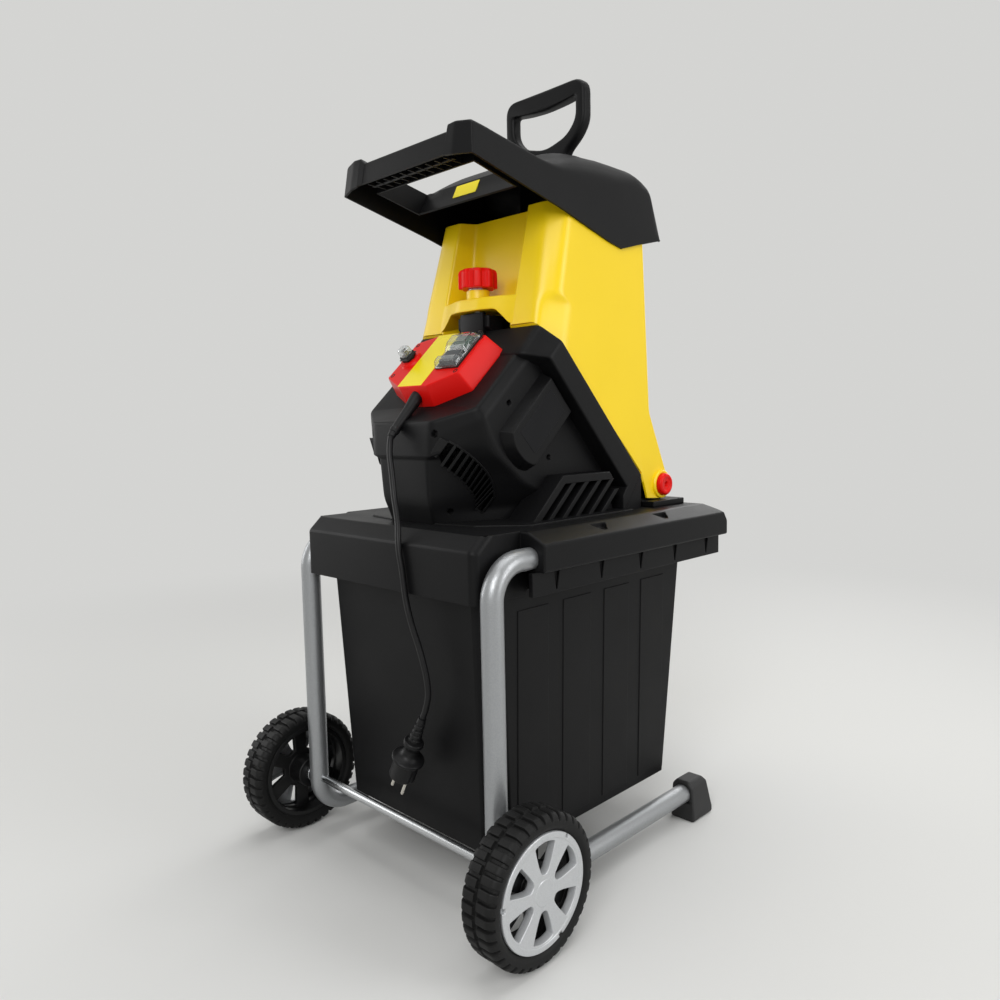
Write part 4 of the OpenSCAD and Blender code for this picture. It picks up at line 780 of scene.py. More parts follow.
def make_wheel_covers():
    """Cover: in each sixth a ring of rays runs from the middle of the window. On each ray the surface comes
    up the window's scooped wall, over a rounded edge, and on flat to the sixth's own border. The outer ring
    stands a little higher than the spokes and has three notches."""
    # The window's middle from the axle, half a sixth's angle, and the radii of the hub and the outer ring
    c, half, r_in, r_out = 43.0, math.pi / 6, 17.0, 62.0
    window = rounded([(21.5, -4.5), (21.5, 4.5), (33, 10), (56.2, 17.4), (59.2, 9), (60.2, 0), (59.2, -9),
                      (56.2, -17.4), (33, -10)], [5, 5, 12, 2.5, 6, 6, 6, 2.5, 12], 9)
    window = refined(window, 0.6, closed=True)
    ang, rad = np.arctan2(window[:, 1], window[:, 0] - c), np.hypot(window[:, 0] - c, window[:, 1])
    corners = [math.atan2(s * r * math.sin(half), r * math.cos(half) - c)
               for s in (-1, 1) for r in (r_in, r_out)]
    # More rays at the sides of the notches
    sides = np.radians([23.4, 24.2, 27.8, 28.6])
    sides = np.arctan2(r_out * np.sin(sides), r_out * np.cos(sides) - c)
    phi = np.unique(np.round(np.concatenate([np.linspace(-np.pi, np.pi, 181), corners, sides]), 9))[1:]
    edge = np.interp(phi, np.sort(ang), rad[np.argsort(ang)], period=2 * np.pi)
    lo, hi = abs(corners[1]), abs(corners[0])
    cos, sin, tan = np.cos(phi), np.sin(phi), math.tan(half)
    outer = -c * cos + np.sqrt(np.maximum(r_out ** 2 - (c * sin) ** 2, 0))
    inner = -c * cos - np.sqrt(np.maximum(r_in ** 2 - (c * sin) ** 2, 0))
    with np.errstate(divide="ignore"):
        flank = c * tan / (np.abs(sin) - cos * tan)
    border = np.where(np.abs(phi) <= lo + 1e-8, outer, np.where(np.abs(phi) >= hi - 1e-8, inner, flank))
    # Rows: scooped wall from the back, rounded edge, face
    wall = [(0.93, 13.5), (0.93, 15), (0.94, 17), (0.955, 19.5), (0.972, 21.5), (0.987, 22.9)]
    rows = [(edge * k, np.full_like(edge, z)) for k, z in wall]
    rows += [(edge + d, np.full_like(edge, z)) for d, z in ((-0.05, 23.35), (0.3, 23.7), (0.9, 23.8))]
    rows += [((1 - t) * (edge + 0.9) + t * border, np.full_like(edge, 23.8)) for t in (0.25, 0.5, 0.75, 1.0)]
    r, z = [np.stack(part) for part in zip(*rows)]
    px, py = c + r * cos, r * sin
    shapes = []
    for k in range(6):
        t = math.radians(57 + 60 * k)
        shapes.append((px * math.cos(t) - py * math.sin(t), px * math.sin(t) + py * math.cos(t), z))

    def round_spots(keep):
        spots = np.sort(np.concatenate([np.arctan2(y[-1][keep], x[-1][keep]) for x, y, _ in shapes]))
        return spots[np.concatenate([[True], np.diff(spots) > 1e-7])]

    spots = round_spots(np.abs(phi) <= lo + 1e-8)
    rim = np.concatenate([[(r_out, 23.8), (62.15, 24.35), (62.6, 24.5), (64.9, 24.5), (65.5, 24.5)],
                          bent([(66, 24.5), (68.6, 24.5), (69.4, 23.4), (69.4, 19.6)], [0, 0.8, 0.8, 0])])
    away = np.abs((np.degrees(spots) - 23 + 60) % 120 - 60)
    notch = (1 - ramp(away, 1.8, 2.6))[None, :] * ramp(rim[:, :1], 64.9, 65.5)
    rim_z = rim[:, 1:] + (19.6 - rim[:, 1:]) * notch
    hub = bent([(r_in, 23.8), (15.5, 23.8), (15, 24.3), (3, 24.4), (0, 24.4)], [0, 0.5, 0.5, 1, 0])
    inside = round_spots(np.abs(phi) >= hi - 1e-8)
    for side, name in SIDES:
        parts = [sheet(on_wheel(np.stack([x, y, zz], -1), side), wrap_cols=True) for x, y, zz in shapes]
        for line, where, zs in ((rim, spots, rim_z), (hub, inside, np.repeat(hub[:, 1:], len(inside), 1))):
            ring = np.stack([line[:, :1] * np.cos(where), line[:, :1] * np.sin(where), zs], -1)
            parts.append(sheet(on_wheel(ring, side), wrap_cols=True))
        piece("wheel_cover_" + name, joined(parts), "cover", "wheel_" + name, "hubcap_" + name, wall=1.2)


def make_wheels():
    """Tyres, covers, and cores with eased edges."""
    make_tyres()
    make_wheel_covers()
    for name in ("left", "right"):
        eased("wheel_core_" + name, "wheel", 1.2)


def make_frame():
    """Tubes: a circle carried along straight runs and quarter-circle bends; the axle is a turned rod."""
    t = np.linspace(0, np.pi / 2, 15)
    bend, high, low = 45.0, 460.0, 42.0
    path = np.concatenate([
        np.linspace((129, high), (bend + 1, high), 6),
        np.stack([bend - bend * np.sin(t), high - bend + bend * np.cos(t)], 1),
        np.linspace((0, 400), (0, 100), 8),
        np.stack([bend - bend * np.cos(t), low + bend - bend * np.sin(t)], 1),
        np.linspace((60, low), (423, low), 12)])
    for side, name in SIDES:
        line = np.concatenate([np.full((len(path), 1), side * TUBE_X), path], 1)
        # A ring drawn together to a point closes each end
        tube = swept(line, circle(TUBE_R, 40))[0]
        first, last = [np.repeat(line[[k]], 40, 0) for k in (0, -1)]
        points = np.concatenate([first, tube, last]).reshape(-1, 40, 3)
        piece("frame_pipe_" + name, sheet(points, wrap_cols=True), "tube", "chassis", "frame_tube_" + name)
        eased("foot_" + name, "foot", 4)
    rod = bent([(0, -261.5), (AXLE_R, -261.5), (AXLE_R, 261.5), (0, 261.5)], [0, 1.2, 1.2, 0])
    rod = np.concatenate([rod[:5], np.linspace((AXLE_R, -250), (AXLE_R, 250), 9), rod[5:]])
    piece("axle_rod", lathe(rod, (0, 0, WHEEL_R), (1, 0, WHEEL_R), 48), "steel", "chassis", "axle")
    # Spacers and push nuts
    rings, bore = [], AXLE_R + 0.05
    for side in (-1, 1):
        for r, x0, x1 in ((11, 207.3, 214.2), (10, 257.8, 260.0)):
            ring = rounded([(bore, x0), (r, x0), (r, x1), (bore, x1)], [0.3, 0.8, 0.8, 0.3], 4)
            ring = np.concatenate([ring, ring[:1]])
            rings.append(lathe(ring, (0, 0, WHEEL_R), (side, 0, WHEEL_R), 48))
    piece("axle_rings", joined(rings), "steel", "chassis", "axle_washers")


def make_base():
    """Cover with its skirt's upright corners widely rounded, a plinth round the housing's foot, and rails."""
    def rear_corner(ends):
        x, y, z = np.moveaxis(ends, -1, 0)
        beside = (np.abs(np.abs(x) - 178) < 0.5) & (y < 6.5) & (z > 410)
        return beside.all(1) & (np.ptp(z, axis=1) > 10) & (y.min(1) < -13)

    eased("base_cover", "black", 3.0, wide=rear_corner, reach=11)
    plinth = rounded([(45, 42), (108, 55), (160, 104), (160, 330), (-160, 330), (-160, 104), (-108, 55),
                      (-45, 42)], 3, 4)
    piece("deck_plinth", plate(plinth, 491.5, 495.2, 0.9, upright), "black", "chassis")
    for name in ("left", "right"):
        eased("bin_rail_" + name, "black", 1.0)


def make_bin():
    """Bin with eased edges."""
    eased("bin", "black", 3.0)


def flipped(shape):
    """The mirror image of a shape on the machine's other side."""
    points, faces = shape
    return points * (-1, 1, 1), [face[::-1] for face in faces]


# Vent bars on the tail's facet, as (across, height) of their lower and upper ends, from the solid cell on
VENTS = np.array([
    (7.5, 580.5, 24.5, 601.5), (11.1, 570.7, 31.2, 597.6), (19.2, 564.2, 39.6, 591.3),
    (27, 557.8, 46.9, 585.1), (33.8, 551.4, 53.3, 578.9), (39.6, 545.1, 59, 572.8), (44, 538.4, 64.2, 566.6),
    (47.5, 532.7, 68.5, 560.3), (50, 526.6, 71.9, 553.8), (51.8, 521.2, 74.3, 547.5),
    (52, 515.5, 75.8, 541.5), (50.9, 509.8, 76.3, 535.8), (60.1, 504.9, 76.2, 526.5)])
# Half the width of each bar after the cell
VENT_HALF = np.array([2.0, 2.0, 1.9, 1.7, 1.4, 1.2, 1.05, 0.95, 0.9, 0.9, 0.9, 1.2])
# Screws on the flank, as (y, z)
FLANK_SCREWS = ((112.9, 651.5), (189, 577))
# The nose's corner as (x, y), and the facet's level direction from it
NOSE = (62, 26)
FACET = (0.74, 0.67)


def facet_across(points):
    """Distance along the vented facet, level, from the nose's corner."""
    return FACET[0] * (points[..., 0] - NOSE[0]) + FACET[1] * (points[..., 1] - NOSE[1])


def facet_out(points):
    """Distance out of the vented facet's plane."""
    return FACET[1] * (points[..., 0] - NOSE[0]) - FACET[0] * (points[..., 1] - NOSE[1])


def vent_bars(facet):
    """Bars of the vents on the facet. Its depth is fitted as a cubic of across and height, and each bar is
    a plate whose outline lies in those two and whose thickness runs square to the facet."""
    def terms(a, z):
        a, z = np.asarray(a) / 100, (np.asarray(z) - 560) / 100
        return np.stack([a ** i * z ** k for i in range(4) for k in range(4 - i)], -1)

    fit = np.linalg.lstsq(terms(facet_across(facet), facet[:, 2]), facet_out(facet), rcond=None)[0]
    c, s = np.array(FACET) / np.dot(FACET, FACET)

    def place(a, z, h):
        d = terms(a, z) @ fit + h
        return NOSE[0] + c * a + s * d, NOSE[1] + s * a - c * d, z

    shapes = []
    for (a0, z0, a1, z1), half in zip(VENTS[1:], VENT_HALF):
        low, top = np.array([a0, z0]), np.array([a1, z1])
        side = half * np.array([z0 - z1, a1 - a0]) / np.linalg.norm(top - low)
        bar = rounded([low + side, low - side, top - side, top + side], 0.9 * half, 4)
        shapes.append(plate(bar, -9, 2.6, 0.3, place))
    tops = np.concatenate([[(22.8, 603.4)], VENTS[1:, 2:] + (0.6, 0.8), [(75.2, 524.5)]])
    run = np.gradient(tops, axis=0)
    side = 1.4 * np.stack([-run[:, 1], run[:, 0]], 1) / np.linalg.norm(run, axis=1)[:, None]
    shapes.append(plate(np.concatenate([tops + side, (tops - side)[::-1]]), -9, 2.6, 0.4, place))
    cell = rounded([(-1.8, 588.3), (5.3, 582.1), (22.8, 602.9), (11.7, 608.3)], 1, 3)
    shapes.append(plate(cell, -9, 2.6, 0.4, place))
    return joined(shapes)


def tail_half():
    """Right half of the housing's tail: sections from the collar back along the flank, round the motor's
    arc, over the vented facet and the nose to the middle, carried from the deck up and over the slope.
    The facet is sunk behind the vent bars."""
    arc = np.concatenate([
        [(112, 182, DECK), (107, 178, 514), (118, 168, 531), (118, 142, 543.5), (118, 116, 563.5),
         (118, 91, 583), (118, 75, 606)],
        tilted([118, 112, 60, 0], [-139, -154, -154, -154], [-161, -154, -150, -150])])
    nose = [(45, 43, DECK), (47, 37, 508), (49, 31, 524), (49.5, 29.5, 545), (50, 28.5, 566), (50.5, 28, 579),
            (60, 24.5, 584), (61, 25, 606), (*NOSE, 629), (40, 34, 632.7), (0, 50, 640.3)]
    middle = [(0, y, z) for _, y, z in nose[:-1]] + [(0, 42, 636.5)]
    front = np.concatenate([
        [(118, 345, DECK), (118, 343, 512), (118, 338, 531), (118, 331.6, 551), (118, 304, 580.5),
         (118, 270, 617), (118, 225, 665)],
        tilted([118, 110, 60, 0], [-139, -154, -154, -154], -20)])
    rows = np.stack([front, 0.42 * arc + 0.58 * front, arc, nose, middle], 1)
    across = [[0] * 11, [0.1] * 11, [6, 6, 9, 9, 9, 9, 9, 9, 7, 0.1, 0], [4, 4, 4, 4, 4, 4, 6, 7, 6, 0.1, 0],
              [0] * 11]
    along = [[0] * 5, [5] * 5, [9] * 5, [12] * 5, [12] * 5, [12, 12, 12, 1.2, 1.2], [12, 12, 12, 1.2, 1.2],
             [4] * 5, [4] * 5, [0.2] * 5, [0] * 5]
    facet = []

    def sunk(p, col):
        normal = np.cross(np.gradient(p, axis=0), np.gradient(p, axis=1))
        normal /= np.maximum(np.linalg.norm(normal, axis=-1), 1e-9)[..., None]
        normal *= np.sign((normal * (0.6, -0.7, 0.3)).sum(-1))[..., None]
        spot = np.stack([facet_across(p), p[..., 2]], -1)
        on_facet = ramp(col, 2.0, 2.05) * (1 - ramp(col, 2.97, 3.02))
        a, z = spot[..., 0], spot[..., 1]
        facet.append(p[(col > 2.1) & (col < 2.95) & (a < 84) & (z > 500) & (z < 612)])
        # The recess is all that lies near a line between the first bar's line and the last one's
        order = np.linspace(0, len(VENTS) - 1, 50)
        lines = np.stack([np.interp(order, np.arange(len(VENTS)), VENTS[:, k]) for k in range(4)], 1)
        run = 0.82 * (lines[:, 2:] - lines[:, :2])
        low = lines[:, :2] + 0.13 / 0.82 * run
        t = np.clip(((spot[:, :, None] - low) * run).sum(-1) / (run ** 2).sum(-1), 0, 1)
        away = np.linalg.norm(spot[:, :, None] - low - t[..., None] * run, axis=-1).min(-1)
        depth = -10 * on_facet * (1 - ramp(away, 0.6, 1.8))
        flat = np.stack([p[..., 1], p[..., 2]], -1)
        # Screw holes, two on the facet and two on the flank
        for where, centre, on in ((spot, (4.7, 613.4), on_facet), (spot, (19.4, 509.8), on_facet),
                                  *[(flat, screw, col < 2.2) for screw in FLANK_SCREWS]):
            depth = depth - 7 * (1 - ramp(np.linalg.norm(where - np.array(centre), axis=-1), 3.0, 4.0)) * on
        return p + normal * depth[..., None]

    spacing = ([9, 1.6, 1.2, 4], [2.4, 2.2, 1.8, 1.8, 2, 2.2, 2.2, 2.6, 14, 14])
    tail = cage(rows, across, along, spacing, shape=sunk)
    return tail, vent_bars(facet[0])


def collar_band():
    """Collar under the hopper: sections from the inner wall over the rim, down the outer wall and in under
    it, carried round the six-sided outline; at the slope the band is deeper."""
    def ring(i, low, rear=-160.5, end=122.0):
        half = [(end - 0.7 * i, rear + i, low[0]), (145 - i, -130 + 0.4 * i, low[1]),
                (147 - i, 131 - i, low[2])]
        return mirrored([tuple(tilted(*p)) for p in half])

    rim, sill = (0, 0, 0), (-52, -34, -37)
    rows = [ring(3, (-25, -25, -25)), ring(3, rim), ring(0, rim), ring(0, sill, -155.2, 119),
            ring(31, sill, -155.2, 119)]
    return cage(rows, [7, 4, 4, 4, 4, 7], [0, 0.8, 1.2, 3.5, 0], 12, closed=True)


def bulge():
    """Raised field for the rating plate: a base outline on the flank drawn up to a smaller face."""
    base = [(-109, -38), (-109, -150), (-95, -160), (-75, -164), (-50, -162.5), (-33, -151), (-35, -38)]
    face = [(-102, -41.5), (-102, -146), (-91, -153.5), (-77, -156.5), (-57, -155), (-40, -146), (-41, -42.5)]
    rows = [[tuple(tilted(x, u, w)) for u, w in line] for x, line in ((110, base), (117, base), (135, face))]
    top = [[tuple(tilted(135, *p)) for p in drawn_in(np.array(face), 3)]]
    return cage(rows + top, [1, 2, 9, 9, 9, 6, 1], [0, 0.5, 1.4, 0], 8, closed=True, lid=True)


def side_box():
    """Louvred box low on the flank: a sunk field behind an L-shaped frame, with slanting slats that run
    along the cutting plane's normal."""
    def along_normal(u, z):
        return SLOPE_Y + (u + (z - SLOPE_Z) * math.sin(SLOPE)) / math.cos(SLOPE)

    field = [(128, DECK), (186, 546), (290, 546), (300, 536), (320, DECK)]
    frame_line = [(along_normal(0, DECK), DECK), (along_normal(0, 552.7), 552.7), (289.5, 552.5),
                  (299, 540.8), (along_normal(11.5, 540.8), 540.8), (along_normal(11.5, DECK), DECK)]
    shapes = [plate(field, 100, 131, 1, across_x), plate(frame_line, 100, 147, 1.3, across_x)]
    for k in range(5):
        u, top = 21 + 19.4 * k, (542 if k < 4 else 526)
        slat = [(along_normal(u, DECK), DECK), (along_normal(u, top), top), (along_normal(u + 6.8, top), top),
                (along_normal(u + 6.8, DECK), DECK)]
        shapes.append(plate(slat, 120, 146.3, 1.0, across_x))
    front = rounded([(322, DECK), (322, 514), (344, 545), (367, 545), (367, DECK)], 3, 4)
    shapes.append(plate(front, 60, 147, 1.6, across_x))
    return joined(shapes)


def make_housing():
    """Both halves: tail, plate field and louvred box on each side, and the collar round the top."""
    (tail, vents), field, box = tail_half(), bulge(), side_box()
    for name, turn in (("right", lambda shape: shape), ("left", flipped)):
        piece("housing_tail_" + name, turn(tail), "black", "chassis", "housing_" + name)
        piece("housing_vents_" + name, turn(vents), "dark", "chassis")
        piece("housing_box_" + name, turn(box), "black", "chassis")
        piece("housing_field_" + name, turn(field), "black", "chassis")
    piece("housing_collar", collar_band(), "black", "chassis")
    label = plate(box_outline(-92.5, -52.5, -136, -53, 2.5), 134.6, 135.3, 0.25,
                  lambda a, b, h: tuple(np.moveaxis(tilted(h, a, b), -1, 0)))
    piece("rating_plate_bare", label, "plate", "chassis")
    screws = []
    for (y, z), x in zip(FLANK_SCREWS, (110.0, 110.5)):
        head = bent([(0, x), (3.1, x), (3.3, x - 1), (3.3, x - 3), (2.0, x - 3), (2.0, 20), (0, 20)],
                    [0, 0.6, 0.3, 0.1, 0.1, 0.1, 0], 3)
        screws.append(lathe(head, (0, y, z), (1, y, z), 24))
    piece("housing_fixings", joined(screws), "dark_steel", "chassis", "housing_screws")


def make_lock():
    """Bracket with its post, knob, washer and screw. The knob's radius is r(a, s) = profile(s) + lobes that
    swell as cos(n a) rises, fading over the rounded top."""
    eased("lock_bracket", "black", 1.5)
    post = plate(box_outline(-23, 23, 159.5, 168.3, 2.5), 742, 781.3, 1.2, upright)
    piece("lock_post", post, "black", "chassis")
    lobes = sizes().knob_lobes
    z0 = 1000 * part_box("lock_knob")[0].z
    profile = np.concatenate([
        [(0, 0.0), (5.2, 0.0)],
        bent([(5.2, 0), (24.4, 0), (25.2, 1.2), (25.2, 22), (22.5, 26.5), (17, 28.2), (15.5, 27.2),
              (10, 27.0), (0, 27.0)], 2.2, 6)[1:]])
    fine = np.linspace(0, len(profile) - 1, 130)
    profile = np.stack([np.interp(fine, np.arange(len(profile)), profile[:, i]) for i in (0, 1)], 1)

    def grip(s, a):
        swell = ramp(np.cos(lobes * a), -0.75, 0.6)
        return (2.8 * swell - 1.6 * (1 - swell)) * ramp(profile[:, :1], 15, 24)

    knob = lathe(profile, (0, LOCK_Y, z0), (0, LOCK_Y, z0 + 1), 240, grip)
    piece("lock_knob_grip", knob, "red", "knob", "lock_knob")
    for node in ("lock_washer", "lock_screw"):
        eased(node, "steel", 0.4)


def on_face(profile, x, w, turns):
    """A profile turned round an axis that stands on the switch box's face."""
    return lathe(profile, tilted(x, -FACE, w), tilted(x, -FACE - 1, w), turns)


def switch_shell():
    """Switch box: an eight-sided outline on the slope drawn up to a smaller face with a lid, and a turned
    boss round the reset."""
    base = [(26, -149), (80, -121), (81, -41), (32, -20)]
    face = [(29, -142), (73.5, -119.5), (71.5, -45), (27, -31.5)]
    inner = [(25, -138), (69, -117), (67.5, -48), (24, -36)]
    rows = [mirrored([tuple(tilted(x, u, w)) for x, w in half])
            for u, half in ((-152, base), (-155, base), (-FACE, face), (-FACE, inner))]
    box = cage(rows, 2.2, [0, 0.5, 1.6, 0], 8, closed=True, lid=True)
    boss = bent([(19, -2), (17.5, 0), (15.2, 3), (15, 4.2), (12, 4.4), (0, 4.4)], [0, 1.5, 1, 0.8, 0.5, 0])
    boss = on_face(boss, *RESET, 64)
    return joined([box, boss])


def flap():
    """Flap: its edge lies on the frame, and its height over the face follows a line of two humps, one over
    each button."""
    w = np.array([-110.5, -110, -107, -103, -97, -91, -84, -76, -71, -58, -52, -47.5, -47])
    up = np.array([187.4, 190, 196.2, 197.6, 197.4, 193, 193, 198, 200.2, 200.2, 197.5, 190, 187.4])
    x = np.array([22.4, 23.2, 26, 62, 64.8, 65.6])[:, None]
    risen = np.array([0, 0.6, 1, 1, 0.6, 0])[:, None]
    net = tilted(x, -(up[0] + risen * (up - up[0])), w)
    return cage(net, [0, 0.3, *[0.8] * 9, 0.3, 0], [0, 0.5, 0.6, 0.6, 0.5, 0], 6)


def make_reset():
    """Boot: a rounded square drawn up to a small dome, which slides in a flange on the nut."""
    def squares(steps):
        half, u = np.transpose(steps)[..., None]
        return tilted(RESET[0] + half * (1, -1, -1, 1), u, RESET[1] + half * (1, 1, -1, -1))

    boot = squares([(7.3, -197.2), (7.2, -199), (6.9, -206.5), (4.6, -209.2), (1.2, -209.5)])
    boot = cage(boot, [2.0] * 4, [0, 0.5, 1.4, 1.2, 0], 3, closed=True, lid=True)
    piece("reset_boot_clear", boot, "boot", "reset", "reset_boot", wall=0.8)
    flange = squares([(10.4, -193.8), (8.9, -194.6), (8.6, -197.4)])
    flange = cage(flange, [2.5] * 4, [0, 0.6, 0], 3, closed=True)
    piece("reset_flange", flange, "dark", "chassis", wall=0.8)


def make_switch():
    """Box with its label and screws, flap, buttons and reset."""
    piece("switch_box_shell", switch_shell(), "red", "chassis", "switch_box")
    label = plate(box_outline(-33, 17, -140.5, -33, 0.8), FACE - 0.1, FACE + 0.35, 0.15, on_slope)
    piece("switch_label_bare", label, "label", "chassis")
    head = bent([(0, -0.6), (1.6, -0.6), (2.1, 0.35), (3.2, 0.35), (3.7, 0), (3.9, -1)], 0.3, 3)
    heads = [on_face(head, x, w, 28) for x in (65.5, -65.5) for w in (-50.5, -115.5)]
    piece("switch_box_fixings", joined(heads), "dark_steel", "chassis", "switch_box_screws")
    piece("switch_flap_clear", flap(), "clear", "switch_flap", "switch_flap", wall=1.1)
    for node, finish, width in (("switch_frame", "dark", 0.6), ("start_button", "green", 1.0),
                                ("stop_button", "grey", 1.0), ("reset_breaker", "dark", 0.6),
                                ("reset_button", "grey", 0.5)):
        eased(node, finish, width)
    make_reset()


def hopper_side(z):
    """Half width of the hopper's flank: it leans in from the hinge upwards."""
    return 145.5 - 18 * np.maximum(np.asarray(z, float) - 540, 0) / 405


def niche_back(z):
    """The niche's back wall, ahead of the axle, leans forward as it rises."""
    return 205.4 + (z - 717.5) * 0.128


def cheek(z):
    """The rear of the cheeks beside the niche, ahead of the axle."""
    return 166 + (z - 759.5) * 0.2507


def hopper_shell():
    """Shell: rings of corners, cut below along the sloping plane, carried straight up to the rim, with
    rounded edges. The rear has the knob's niche; the flanks run on into hinge legs."""
    def flank(y, z, inwards=0):
        return (float(hopper_side(z)) - inwards, y, z)

    niche = [(58, niche_back(z), z) for z in (717.5, 726, 784, 797, 926)]
    edge = [(70, cheek(z), z) for z in (759.5, 766, 784, 797, 926)]
    corner = [(118.3 - (p[2] - 759.5) * 0.0987, p[1], p[2]) for p in edge]
    rows = [[flank(204, 719.5), flank(371, 545), flank(385, 506), flank(417, 503.5), flank(442, 533.5),
             flank(442, 533.5, 12), flank(397, 545, 12)]]
    # Rear corner and flank of the higher rings, up to the front corner, which turns in
    for side in (((206, 733), (345, 600), (362, 618), (380, 630), (397, 637)),
                 ((218, 784), (340, 740), (352, 740), (374, 740), (397, 740)),
                 ((199, 798), (335, 770), (345, 770), (370, 770), (397, 770)),
                 ((229, 926), (330, 926), (340, 926), (368, 926), (397, 926))):
        rows.append([flank(*p) for p in side] + [flank(*side[-1], inwards) for inwards in (4, 8)])
    rows = [mirrored([niche[k], edge[k], corner[k], *row][::-1]) for k, row in enumerate(rows)]
    bends = [4, 3, 5, 0.2, 0.2, 0.2, 9, 10, 4, 5]
    return cage(rows, bends + bends[::-1], [0, 7, 7, 7, 0], closed=True, holes=[(0, 2, 9, 10)])


def hopper_floor():
    """Floor along the cutting plane, open over the blades."""
    floor_rows = [(-163, (116, 74, 74)), (-105, (132, 72, 60)), (-90, (133, 72, 60)), (-18, (139, 72, 60)),
                  (120, (141.5, 72, 60))]
    floor = [mirrored([tuple(tilted(x, u, 2.5)) for x in half]) for u, half in floor_rows]
    floor.append(mirrored([(141.5, 395, 547), (72, 395, 547), (60, 395, 547)]))
    return cage(floor, 0.1, [0, 0, 0, 0, 6, 0], 30, holes=[(0, 1, 1, 4), (2, 3, 2, 3)])


def on_hinge(profile, turns):
    """A profile turned round the hinge's axis, on both sides of the machine."""
    return joined([lathe(profile, (0, *HINGE), (side, *HINGE), turns) for side in (-1, 1)])


def hopper_shelf():
    """Shelf: its front leans with the cheeks and swells towards the middle, its lower edge is an arch. The
    knob's seat stands on it; the hinge's bosses are joined to it as one moulding."""
    x = np.linspace(-92, 92, 63)
    low = np.interp(np.abs(x), [0, 43, 47, 67, 72, 92], [783.7, 783.7, 782, 763.5, 761, 761])
    swell = 19 * (1 - ramp(np.abs(x), 16, 78)) - 0.7 * ramp(np.abs(x), 68, 92)
    lines = [np.stack([x, y, z], -1) for y, z in (
        (np.full_like(x, 216), low), (cheek(low) - swell, low),
        (cheek(802) - swell, np.full_like(x, 802)), (np.full_like(x, 216), np.full_like(x, 802)),
        (np.full_like(x, 216), low))]
    ends = [np.full((5, 1, 3), (s * 92.2, 200, 785.0)) for s in (-1, 1)]
    net = bent(np.concatenate([ends[0], np.stack(lines), ends[1]], 1), [0, 2.2, 2.6, 0, 0], 6)
    seat = bent([(0, 798), (18.6, 798), (17, 801.6), (16.6, 803.5), (16.6, 814), (6, 814), (0, 814)],
                [0, 0, 1.6, 1.6, 0.8, 0.8, 0], 5)
    boss = bent([(0, 133.5), (20, 133.5), (22, 135), (22, 147.5), (20.5, 149), (17.6, 149), (17.4, 148),
                 (0, 148)], [0, 1, 1, 1.5, 1.5, 0.5, 0.5, 0])
    seat = lathe(seat, (0, LOCK_Y, 0), (0, LOCK_Y, 1), 72)
    return joined([sheet(refined(net, 5)), seat, on_hinge(boss, 72)])


def make_hopper():
    """Hopper with a wall behind its sheets, a black plate in its niche that stands in for the opening there
    (partly the black housing behind, partly painted shade), and the hinge's caps and brackets.
    """
    piece("hopper_shell", hopper_shell(), "yellow", "hopper", "hopper", bevel=1.0, wall=3)
    piece("hopper_floor", hopper_floor(), "yellow", "hopper", wall=2.5)
    piece("hopper_shelf", hopper_shelf(), "yellow", "hopper")
    # Painted shade: a black plate on the niche's back wall below the shelf stands in for the opening there,
    # through which the black housing shows in shade
    opening_shade = plate(box_outline(-61, 61, 721, 790, 3), 1.1, 4.1, 0.8,
                   lambda a, b, h: (a, niche_back(b) + h, b))
    piece("niche_opening_shade", opening_shade, "black", "hopper")
    dome = bent([(0, 148), (17, 148), (17, 154.5), (14.5, 157), (11, 157), (9.5, 155.6), (4.6, 155.2),
                 (3.4, 151), (0, 151)], [0, 0.5, 2, 2, 1, 1, 0.6, 0.6, 0])
    piece("hinge_buttons", on_hinge(dome, 64), "red", "hopper", "hinge_caps")
    for name in ("left", "right"):
        eased("hinge_bracket_" + name, "black", 1.5)


# The cap's lower edge: places ahead of the axle, and the heights there
CAP_LOW = ([34, 205, 336, 380, 440], [951, 910, 873, 885, 899])


